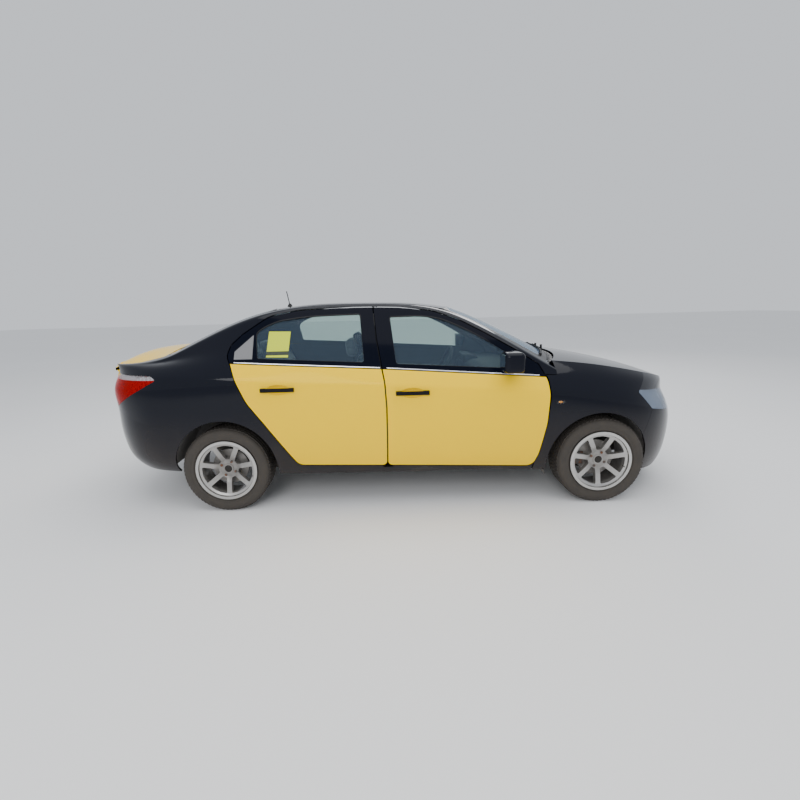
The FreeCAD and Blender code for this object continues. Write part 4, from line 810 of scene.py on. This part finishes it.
class CAB_OT_tyres(bpy.types.Operator):
    """Turn four tyres with grooved tread and ribbed shoulders"""

    bl_idname = "cab.tyres"
    bl_label = "Tyres"

    def execute(self, context):
        sizes = context.scene.cab_sizes
        for name, _ in WHEELS:
            middle, radius, half = wheel_middle(name)
            low = radius - sizes.tread_depth
            wall = [(r, half - inset) for r, inset in SIDE_WALL] + [
                (low - 0.003, half - 0.016), (low - 0.0005, half - 0.024), (low, half - 0.032)]
            profile = wall + [(r, -a) for r, a in reversed(wall)]
            meshes = [turned_profile("carcass", profile, 112, middle)]
            around = math.tau * radius / sizes.tread_blocks
            deep = sizes.tread_depth + 0.0035
            for offset, width, slant, phase in TREAD_ROWS:
                meshes.append(grown("tread", "rubber", {
                    "Blocks": sizes.tread_blocks, "Radius": radius - deep / 2 - 0.0004,
                    "Block": (deep, around * 0.80, width), "Slant": slant,
                    "Offset": tuple(middle + Vector((0, offset, 0))),
                    "Phase": phase * math.tau / sizes.tread_blocks}))
            settled("dressed_tyre_" + name, fused("tyre", meshes), "rubber", "wheel_" + name,
                    ["tyre_" + name])
        return {"FINISHED"}


def fused(name, meshes):
    """Several meshes as one, each as it is, keeping the first one's UV."""
    shape = bmesh.new()
    for mesh in meshes:
        shape.from_mesh(mesh)
    return mesh_from(shape, name)


CAP = [(0.0005, 0.006), (0.012, 0.0055), (0.020, 0.004), (0.026, 0.001), (0.0285, -0.003), (0.0290, -0.008),
       (0.0005, -0.008)]
VALVE = [(0.0005, 0.020), (0.0032, 0.019), (0.0036, 0.010), (0.0046, 0.008), (0.0052, -0.004), (0.0005, -0.004)]
RIM_LIP, VALVE_AHEAD, VALVE_BELOW, VALVE_IN = 0.196, 0.176, 0.05, 0.022


class CAB_OT_wheel_trim(bpy.types.Operator):
    """Add the bolts, the plain centre cap and the valve of each wheel"""

    bl_idname = "cab.wheel_trim"
    bl_label = "Wheel trim"

    def execute(self, context):
        sizes = context.scene.cab_sizes
        for name, sign in WHEELS:
            middle = wheel_middle(name)[0]
            rim = caster("rim_" + name)
            face, ring, lip = [on_side(rim, middle.x + reach, middle.z, sign).y
                               for reach in (0, sizes.bolt_circle, RIM_LIP)]
            body = "wheel_" + name
            cap = turned_profile("cap", CAP, 40, Vector((middle.x, face, middle.z)), sign)
            settled("wheel_cap_" + name, cap, "cap", body)
            bolts = grown("bolts", "iron", {
                "Radius": sizes.bolt_circle, "Offset": (middle.x, ring - sign * 0.002, middle.z)})
            settled("wheel_bolts_" + name, bolts, "iron", body, crease=20)
            at = Vector((middle.x + VALVE_AHEAD, lip - sign * VALVE_IN, middle.z - VALVE_BELOW))
            settled("tyre_valve_" + name, turned_profile("valve", VALVE, 16, at, sign), "plastic", body)
        return {"FINISHED"}


def line_mesh(points, closed=False):
    edges = [(k, k + 1) for k in range(len(points) - 1)]
    if closed:
        edges.append((len(points) - 1, 0))
    return mesh_of("line", points, edges=edges)


FRONT_GLASS = [
    (-0.026, 1.032, 0.020), (-0.062, 1.350, 0.016), (0.162, 1.352, 0.2), (0.293, 1.332, 0.1),
    (0.446, 1.267, 0.1), (0.590, 1.189, 0.1), (0.744, 1.095, 0.012), (0.737, 0.983, 0.030)]
REAR_GLASS = [
    (-0.238, 1.048, 0.020), (-0.974, 1.092, 0.015), (-0.992, 1.263, 0.040), (-0.925, 1.306, 0.06),
    (-0.834, 1.342, 0.08), (-0.630, 1.368, 0.2), (-0.266, 1.374, 0.016)]
STRIP_SPOTS, BEAD_STEP, SEAL_INSET = 60, 0.014, 0.012
SIDE_RUNS = (("front", -0.088, 0.955, FRONT_GLASS), ("rear", -1.128, -0.118, REAR_GLASS))


class CAB_OT_side_trim(bpy.types.Operator):
    """Lay the bright belt strips and the glass seals along the skin"""

    bl_idname = "cab.side_trim"
    bl_label = "Side trim"

    def execute(self, context):
        sizes = context.scene.cab_sizes
        for side, sign in SIDES:
            for end, first, last, outline in SIDE_RUNS:
                node = f"{end}_door_{side}"
                skin = caster(node)
                spots = [first + (last - first) * k / STRIP_SPOTS for k in range(STRIP_SPOTS + 1)]
                line = [on_side(skin, x, belt_height(x) + 0.001, sign, -0.0015) for x in spots]
                line = [p for p in line if p]
                strip = grown("bead", "bright", {"Radius": sizes.strip, "Step": BEAD_STEP}, line_mesh(line))
                settled(f"belt_strip_{end}_{side}", strip, "bright", node + "_body")
                pane = caster(f"{end}_door_glass_{side}")
                rim = []
                middle = sum((Vector(c[:2]) for c in outline), Vector((0, 0))) / len(outline)
                for spot in eased(outline):
                    inner = spot + (middle - spot).normalized() * SEAL_INSET
                    hit = on_side(pane, inner.x, inner.y, sign)
                    if hit:
                        rim.append(Vector((spot.x, hit.y + sign * 0.001, spot.y)))
                seal = grown("bead", "plastic", {"Radius": sizes.seal, "Step": BEAD_STEP},
                             line_mesh(rim, closed=True))
                settled(f"glass_seal_{end}_{side}", seal, "plastic", node + "_body")
        return {"FINISHED"}


def in_order(mesh):
    """The same mesh with its points and faces sorted, since solidify leaves them in a new order each run."""
    points = [tuple(v.co) for v in mesh.vertices]
    order = sorted(range(len(points)), key=lambda k: points[k])
    rank = {old: new for new, old in enumerate(order)}
    faces = [[rank[k] for k in face.vertices] for face in mesh.polygons]
    return mesh_of(mesh.name, [points[k] for k in order], sorted(faces))


def shell_copy(node, sign, ahead, depth):
    """A 2 mm shell of one side's faces that look outwards and ahead, or back, sunk inwards by depth."""
    shape = bmesh.new()
    shape.from_mesh(NODES[node].data)
    bmesh.ops.remove_doubles(shape, verts=shape.verts, dist=2e-5)
    gone = [f for f in shape.faces if f.calc_center_median().y * sign <= 0
            or f.normal.x * ahead + f.normal.y * sign <= LAMP_FACING]
    bmesh.ops.delete(shape, geom=gone, context="FACES")
    shape.normal_update()
    for v in shape.verts:
        v.co -= v.normal * depth
    bmesh.ops.solidify(shape, geom=list(shape.faces), thickness=0.002)
    bmesh.ops.recalc_face_normals(shape, faces=list(shape.faces))
    return in_order(mesh_from(shape, node + "_inner"))


LENS_RING = [(1.16, -0.004), (1.16, 0.002), (1.10, 0.006), (1.02, 0.006), (0.96, 0.001), (0.96, -0.004)]
LENS_DOME = [(0.0005, 0.0085), (0.35, 0.0078), (0.65, 0.0055), (0.86, 0.002), (0.93, -0.002), (0.0005, -0.003)]


def projector(case, y, z, radius):
    """A ringed round lens standing on the lamp case where a ray from the front meets it."""
    hit = skin_of(case).ray_cast(Vector((2.6, y, z)), Vector((-1, 0, 0)))
    normal = hit[1] if hit[1].x > 0 else -hit[1]
    turn = Vector((0, 1, 0)).rotation_difference(normal).to_matrix().to_4x4()
    meshes = []
    for profile in (LENS_RING, LENS_DOME):
        mesh = turned_profile("round", [(r * radius, a) for r, a in profile], 36)
        mesh.transform(Matrix.Translation(hit[0]) @ turn)
        meshes.append(mesh)
    return meshes


LAMP_FACING = 0.4
HEADLAMP_SINK, TAIL_LAMP_SINK = 0.020, 0.010
HEADLAMP_ROUNDS = ((0.600, 0.715, 0.048), (0.690, 0.745, 0.036), (0.520, 0.690, 0.026))
REPEATER_SPOT = (1.09, 0.754)
REPEATER_HALF = (0.030, 0.0125)
REPEATER = (
    ("", [(0.0005, 0.007), (0.4, 0.0066), (0.75, 0.0048), (0.93, 0.002), (1.0, -0.002), (0.0005, -0.003)],
     40, "lamp", "lamp_clear"),
    ("_base", [(0.90, -0.002), (1.02, 0.0015), (1.14, 0.0005), (1.16, -0.003)], 40, "plastic", "trim_black"),
    ("_bulb", [(0.0005, 0.0035), (0.35, 0.003), (0.55, 0.0005), (0.0005, 0.0)], 24, "amber", "lamp_clear"),
)


class CAB_OT_lamps(bpy.types.Operator):
    """Fit the insides of the head and tail lamps and the side repeaters"""

    bl_idname = "cab.lamps"
    bl_label = "Lamps"

    def execute(self, context):
        for side, sign in SIDES:
            head = shell_copy("headlamps", sign, 1, HEADLAMP_SINK)
            tail = shell_copy("tail_lamps", sign, -1, TAIL_LAMP_SINK)
            rings, domes = zip(*[projector(head, sign * y, z, r) for y, z, r in HEADLAMP_ROUNDS])
            for name, mesh, finish, slot, crease in (
                ("headlamp_case_", head, "lamp_case", "lamp_clear", 50),
                ("headlamp_rings_", fused("rings", rings), "bright", "lamp_clear", 35),
                ("headlamp_domes_", fused("domes", domes), "dome", "lamp_clear", 35),
                ("tail_lamp_case_", tail, "lamp_mirror", "lamp_red", 50)):
                settled(name + side, mesh, finish, "body", crease=crease)
            spot = on_side(caster("fender_" + side), *REPEATER_SPOT, sign)
            for part, profile, steps, finish, slot in REPEATER:
                mesh = turned_profile("repeater", profile, steps, axis_y=sign)
                for v in mesh.vertices:
                    v.co = spot + Vector((v.co.x * REPEATER_HALF[0], v.co.y, v.co.z * REPEATER_HALF[1]))
                settled(f"side_repeater{part}_{side}", mesh, finish, "body")
        return {"FINISHED"}


STICKER_FOOT = Vector((-0.912, 1.102))
STICKER_ALONG, STICKER_UP = Vector((0.150, -0.004)), Vector((0.012, 0.170))


class CAB_OT_sticker(bpy.types.Operator):
    """Lay the plain two-tone sticker on the rear side glass"""

    bl_idname = "cab.sticker"
    bl_label = "Window sticker"

    def execute(self, context):
        pane = caster("rear_door_glass_right")
        across, up = 10, 10
        points, faces = [], []
        for layer in (0.0008, 0.0003):
            for j in range(up + 1):
                for i in range(across + 1):
                    spot = STICKER_FOOT + STICKER_ALONG * (i / across) + STICKER_UP * (j / up)
                    points.append(on_side(pane, *spot, -1, layer))
        row = across + 1
        top = row * (up + 1)
        for j in range(up):
            for i in range(across):
                a = j * row + i
                faces.append((a, a + 1, a + row + 1, a + row))
                faces.append((top + a, top + a + row, top + a + row + 1, top + a + 1))
        rim = list(range(across)) + [j * row + across for j in range(up)]
        rim += [up * row + i for i in range(across, 0, -1)] + [j * row for j in range(up, 0, -1)]
        for k, a in enumerate(rim):
            b = rim[(k + 1) % len(rim)]
            faces.append((b, a, top + a, top + b))
        film = closed_up(mesh_of("sticker", points, faces), SAME_POINT)
        settled("window_sticker", film, "sticker", "rear_door_right_body")
        return {"FINISHED"}


def pad_shell(outline, low_y, high_y, round_over, sink):
    """A pad's side outline drawn across the seat, rounded over at both ends."""
    line = eased(outline, 4)
    middle = sum(line, Vector((0, 0))) / len(line)
    stations = [0, 0.02, 0.06, 0.12, 0.2, 0.35, 0.5, 0.65, 0.8, 0.88, 0.94, 0.98, 1]
    points, faces = [], []
    for share in stations:
        y = low_y + (high_y - low_y) * share
        edge = min(share, 1 - share) * (high_y - low_y)
        short = max(round_over - edge, 0.0)
        drop = round_over - math.sqrt(round_over ** 2 - short ** 2)
        for spot in line:
            away = spot - middle
            points.append((middle.x + away.x - away.normalized().x * (drop + sink), y,
                           middle.y + away.y - away.normalized().y * (drop + sink)))
    count = len(line)
    for k in range(len(stations) - 1):
        for i in range(count):
            j = (i + 1) % count
            faces.append((k * count + i, k * count + j, (k + 1) * count + j, (k + 1) * count + i))
    faces.append(tuple(range(count - 1, -1, -1)))
    faces.append(tuple((len(stations) - 1) * count + i for i in range(count)))
    return closed_up(mesh_of("pad", points, faces), SAME_POINT)


def puffed(mesh, voxel, cap, steps=20):
    """The pad's mesh after air pressure has filled its cover, no point moving more than cap."""
    scene = bpy.context.scene
    carrier = bpy.data.objects.new("pad_carrier", mesh)
    scene.collection.objects.link(carrier)
    remesh = carrier.modifiers.new("Grid", "REMESH")
    remesh.mode = "VOXEL"
    remesh.voxel_size = voxel
    plain = plain_mesh(carrier)
    carrier.modifiers.clear()
    carrier.data = plain
    start = [v.co.copy() for v in plain.vertices]
    cloth = carrier.modifiers.new("Cover", "CLOTH")
    cloth.settings.use_pressure = True
    cloth.settings.uniform_pressure_force = 4
    cloth.settings.effector_weights.gravity = 0
    cloth.point_cache.frame_start = 1
    cloth.point_cache.frame_end = steps
    for step in range(1, steps + 1):
        scene.frame_set(step)
    swollen = plain_mesh(carrier)
    carrier.modifiers.clear()
    scene.frame_set(1)
    for v, old in zip(swollen.vertices, start):
        move = v.co - old
        if move.length > cap:
            v.co = old + move * (cap / move.length)
    carrier.data = swollen
    smooth = carrier.modifiers.new("Fine", "SUBSURF")
    smooth.levels = smooth.render_levels = 1
    made = plain_mesh(carrier)
    bpy.data.objects.remove(carrier)
    return made


def channelled(mesh, seams, width=0.011, depth=0.006):
    """Press sewn channels into a pad, where seams gives the distance to the nearest one."""
    mesh.update()
    moves = []
    for v in mesh.vertices:
        near = seams(v.co)
        if near < width:
            moves.append((v, v.normal * (-depth * (1 - near / width) ** 1.5)))
    for v, move in moves:
        v.co += move
    mesh.update()
    return mesh


def moved(mesh, y):
    made = mesh.copy()
    made.transform(Matrix.Translation((0, y, 0)))
    return made


def boxed(low, high, bevel=0.004):
    """A bevelled block between two corners."""
    shape = bmesh.new()
    bmesh.ops.create_cube(shape, size=1)
    for v in shape.verts:
        v.co = Vector([(a + b) / 2 + c * (b - a) for a, b, c in zip(low, high, v.co)])
    bmesh.ops.bevel(shape, geom=shape.edges[:], offset=bevel, segments=3, profile=0.6, affect="EDGES")
    return mesh_from(shape, "block")


SQUAB = [(-0.140, 0.337, 0.040), (0.385, 0.332, 0.045), (0.408, 0.455, 0.05), (0.300, 0.503, 0.12),
         (-0.110, 0.468, 0.04)]
BACK = [(-0.062, 0.430, 0.04), (-0.183, 0.440, 0.05), (-0.383, 0.983, 0.05), (-0.290, 1.018, 0.045),
        (-0.228, 0.930, 0.12)]
REST = [(-0.307, 1.042, 0.03), (-0.393, 1.042, 0.035), (-0.413, 1.188, 0.038), (-0.327, 1.202, 0.038)]
BENCH = [(-0.560, 0.374, 0.02), (-0.900, 0.394, 0.02), (-0.885, 0.503, 0.03), (-0.520, 0.533, 0.10),
         (-0.427, 0.498, 0.045), (-0.442, 0.397, 0.04)]
BENCH_BACK = [(-0.875, 0.510, 0.03), (-0.985, 0.450, 0.02), (-1.155, 1.030, 0.03), (-1.092, 1.055, 0.04),
              (-1.022, 0.960, 0.12)]
BENCH_REST = [(-1.087, 1.058, 0.025), (-1.158, 1.058, 0.025), (-1.178, 1.163, 0.03), (-1.107, 1.178, 0.03)]
# Distances of the channels from the middle of their seat, and of the seats from the middle of the car.
SEAT_SEAM = 0.135
BENCH_SEAMS = (0.16, 0.50)
SEAT_Y = 0.37
CUSHION_CREASE = 80
STITCH_SPOTS = 40


def cross_seam(point, cushion_top, pitch):
    """Distance to the nearest channel across a seat: along x on the cushion, along z on the back."""
    run = point.x if point.z < cushion_top else point.z
    return abs((run * pitch) % 1 - 0.5) / pitch


def front_seams(point):
    """Distance to the nearest channel of a front seat that stands at the middle."""
    across = abs(point.y)
    return min(abs(across - SEAT_SEAM), cross_seam(point, 0.53, 7.5) if across < SEAT_SEAM else 1.0)


def bench_seams(point):
    across = abs(point.y)
    low, high = BENCH_SEAMS
    cross = cross_seam(point, 0.545, 7.0) if low < across < high else 1.0
    return min(abs(across - low), abs(across - high), cross)


def rest_seam(point):
    return abs(point.z - 1.12)


def cushion(name, mesh, stands_for):
    """A padded piece of a seat."""
    made = settled(name, mesh, "cloth", "body", [stands_for], CUSHION_CREASE)


class CAB_OT_seats(bpy.types.Operator):
    """Sew and fill the front seats and the rear bench"""

    bl_idname = "cab.seats"
    bl_label = "Seats"

    def execute(self, context):
        sizes = context.scene.cab_sizes
        sink = sizes.pad_cap * 0.8

        def pad(outline, half, seams, middle=0.0):
            shell = pad_shell(outline, middle - half, middle + half, 0.05 if half > 0.2 else 0.03, sink)
            return channelled(puffed(shell, sizes.voxel, sizes.pad_cap), seams)

        front = {
            "seat_cushion": pad(SQUAB, 0.243, front_seams), "seat_back": pad(BACK, 0.233, front_seams),
            "seat_rest": pad(REST, 0.123, rest_seam),
        }
        for side, sign in SIDES:
            y = sign * SEAT_Y
            for name, mesh in front.items():
                cushion(f"{name}_{side}", moved(mesh, y), "front_seats")
            frame_parts = [boxed((-0.058, y - 0.188, 0.2355), (0.328, y + 0.188, 0.262))]
            for across in (y - 0.14, y + 0.14):
                frame_parts.append(boxed((-0.050, across - 0.02, 0.25), (0.32, across + 0.02, 0.35)))
            for across in (y - 0.06, y + 0.06):
                frame_parts.append(boxed((-0.345, across - 0.007, 0.97), (-0.331, across + 0.007, 1.06), 0.005))
            settled("seat_frame_" + side, fused("frame", frame_parts), "cabin", "body")
        for name, outline in (("bench_cushion", BENCH), ("bench_back", BENCH_BACK)):
            cushion(name, pad(outline, 0.598, bench_seams), "rear_bench")
        rest = pad(BENCH_REST, 0.113, rest_seam)
        for name, y in (("right", -SEAT_Y), ("middle", 0.0), ("left", SEAT_Y)):
            cushion("bench_rest_" + name, moved(rest, y), "rear_bench")
            post = boxed((-1.135, y - 0.015, 1.02), (-1.105, y + 0.015, 1.08), 0.006)
            settled("bench_post_" + name, post, "cabin", "body")
        skin = skin_of(front["seat_cushion"])
        for side, sign in SIDES:
            lines = []
            for edge in (-SEAT_SEAM, SEAT_SEAM):
                spots = []
                for k in range(STITCH_SPOTS):
                    above = Vector((-0.06 + 0.010 * k, edge + 0.012, 0.8))
                    hit = skin.ray_cast(above, Vector((0, 0, -1)))[0]
                    if hit:
                        spots.append(hit + Vector((0, sign * SEAT_Y, 0.0004)))
                lines.append(grown("stitches", "plastic", {}, line_mesh(spots)))
            settled("seat_stitches_" + side, fused("stitches", lines), "plastic", "body")
        return {"FINISHED"}


VENTS_Y = (-0.60, -0.09, 0.09, 0.60)
VENT_Z = 0.83
# Bars of a vent's frame: from and to, across and up.
VENT_FRAME = ((-0.058, 0.058, 0.796, 0.802), (-0.058, 0.058, 0.858, 0.864),
              (-0.059, -0.053, 0.797, 0.863), (0.053, 0.059, 0.797, 0.863))


class CAB_OT_cabin(bpy.types.Operator):
    """Fit the air vents into the dashboard"""

    bl_idname = "cab.cabin"
    bl_label = "Cabin fittings"

    def execute(self, context):
        dash = caster("dashboard")
        parts = []
        for y in VENTS_Y:
            x = dash.ray_cast(Vector((0.2, y, VENT_Z)), Vector((1, 0, 0)))[0].x
            parts.append(grown("slats", "cabin", {
                "Slats": 5, "Step": (0, 0, 0.011), "Slat": (0.010, 0.10, 0.0022),
                "Start": (x - 0.002, y, 0.808)}))
            for y_low, y_high, z_low, z_high in VENT_FRAME:
                parts.append(boxed((x - 0.006, y + y_low, z_low), (x + 0.004, y + y_high, z_high), 0.002))
        settled("air_vents", fused("vents", parts), "cabin", "body")
        return {"FINISHED"}


# The camera, fitted to the wheels of the pictured car: pixels of a square picture, radians, metres.
PICTURE_SIDE = 800
VIEW_FOCAL = 397.586
VIEW_MIDDLE = (386.984, 381.053)
VIEW_ANGLES = (-0.00119, -0.18502, -0.02631)
VIEW_PLACE = (-0.09231, -3.48962, 1.42185)
LIGHTS = (("roof_light", (0.5, -1.0, 6.5), 8.0, 300), ("side_light", (-2.0, -7.5, 4.2), 4.5, 220),
          ("far_light", (3.0, 7.0, 5.0), 4.0, 130))


def fitted_camera():
    """The camera that saw the pictured car."""
    camera = bpy.data.cameras.new("photo_camera")
    yaw, pitch, roll = VIEW_ANGLES
    camera.sensor_width = 36.0
    camera.lens = VIEW_FOCAL / PICTURE_SIDE * camera.sensor_width
    camera.shift_x = (PICTURE_SIDE / 2 - VIEW_MIDDLE[0]) / PICTURE_SIDE
    camera.shift_y = (VIEW_MIDDLE[1] - PICTURE_SIDE / 2) / PICTURE_SIDE
    camera.clip_end = 200
    ahead = Vector((-math.sin(yaw) * math.cos(pitch), math.cos(yaw) * math.cos(pitch), math.sin(pitch)))
    across = Vector((math.cos(yaw), math.sin(yaw), 0))
    up = across.cross(ahead)
    right = across * math.cos(roll) + up * math.sin(roll)
    top = up * math.cos(roll) - across * math.sin(roll)
    eye = bpy.data.objects.new("photo_camera", camera)
    eye.matrix_world = Matrix.Translation(VIEW_PLACE) @ Matrix((right, top, -ahead)).transposed().to_4x4()
    bpy.context.scene.collection.objects.link(eye)
    return eye


class CAB_OT_stage(bpy.types.Operator):
    """Set the pale floor, the soft lights and the camera"""

    bl_idname = "cab.stage"
    bl_label = "Stage"

    def execute(self, context):
        scene = context.scene
        floor = mesh_of("floor", [(-40, -40, 0), (40, -40, 0), (40, 40, 0), (-40, 40, 0)], [(0, 1, 2, 3)])
        ground = Finish("studio_floor")
        tone = ground.mix(ground.noise(0.4, 2.0), (0.80, 0.80, 0.80, 1), (0.84, 0.84, 0.84, 1))
        ground.surface(Base_Color=tone, Roughness=0.9)
        floor.materials.append(ground.material)
        stand = bpy.data.objects.new("studio_floor", floor)
        stand.location.z = -0.0005
        scene.collection.objects.link(stand)
        world = bpy.data.worlds.new("soft_room")
        world.use_nodes = True
        back = world.node_tree.nodes["Background"]
        back.inputs["Color"].default_value = (0.90, 0.94, 1.0, 1)
        back.inputs["Strength"].default_value = 0.85
        scene.world = world
        for name, place, size, power in LIGHTS:
            light = bpy.data.lights.new(name, "AREA")
            light.energy = power
            light.shape = "DISK"
            light.size = size
            lamp = bpy.data.objects.new(name, light)
            lamp.location = place
            aim = Vector((0, 0, 0.6)) - Vector(place)
            lamp.rotation_euler = aim.to_track_quat("-Z", "Y").to_euler()
            scene.collection.objects.link(lamp)
        scene.camera = fitted_camera()
        return {"FINISHED"}


class CAB_PT_pieces(bpy.types.Panel):
    """Buttons of the cab's pieces, with their colours and sizes"""

    bl_idname = "CAB_PT_pieces"
    bl_label = "Cab"
    bl_space_type = "VIEW_3D"
    bl_region_type = "UI"
    bl_category = "Cab"

    def draw(self, context):
        for step in STEPS:
            self.layout.operator(step.bl_idname)
        for group in (context.scene.cab_paint, context.scene.cab_sizes):
            for name in group.bl_rna.properties.keys():
                if name not in ("rna_type", "name"):
                    self.layout.prop(group, name)


STEPS = (CAB_OT_stage, CAB_OT_finishes, CAB_OT_tyres, CAB_OT_wheel_trim, CAB_OT_side_trim, CAB_OT_lamps,
         CAB_OT_sticker, CAB_OT_seats, CAB_OT_cabin)
CLASSES = (CabPaint, CabSizes) + STEPS + (CAB_PT_pieces,)


def register():
    for made in CLASSES:
        bpy.utils.register_class(made)
    bpy.types.Scene.cab_paint = bpy.props.PointerProperty(type=CabPaint)
    bpy.types.Scene.cab_sizes = bpy.props.PointerProperty(type=CabSizes)


def unregister():
    del bpy.types.Scene.cab_sizes
    del bpy.types.Scene.cab_paint
    for made in reversed(CLASSES):
        bpy.utils.unregister_class(made)


def main():
    register()
    bpy.ops.cab.stage()
    bpy.ops.cab.finishes()
    bpy.ops.cab.tyres()
    bpy.ops.cab.wheel_trim()
    bpy.ops.cab.side_trim()
    bpy.ops.cab.lamps()
    bpy.ops.cab.sticker()
    bpy.ops.cab.seats()
    bpy.ops.cab.cabin()


if __name__ == "__main__":
    main()
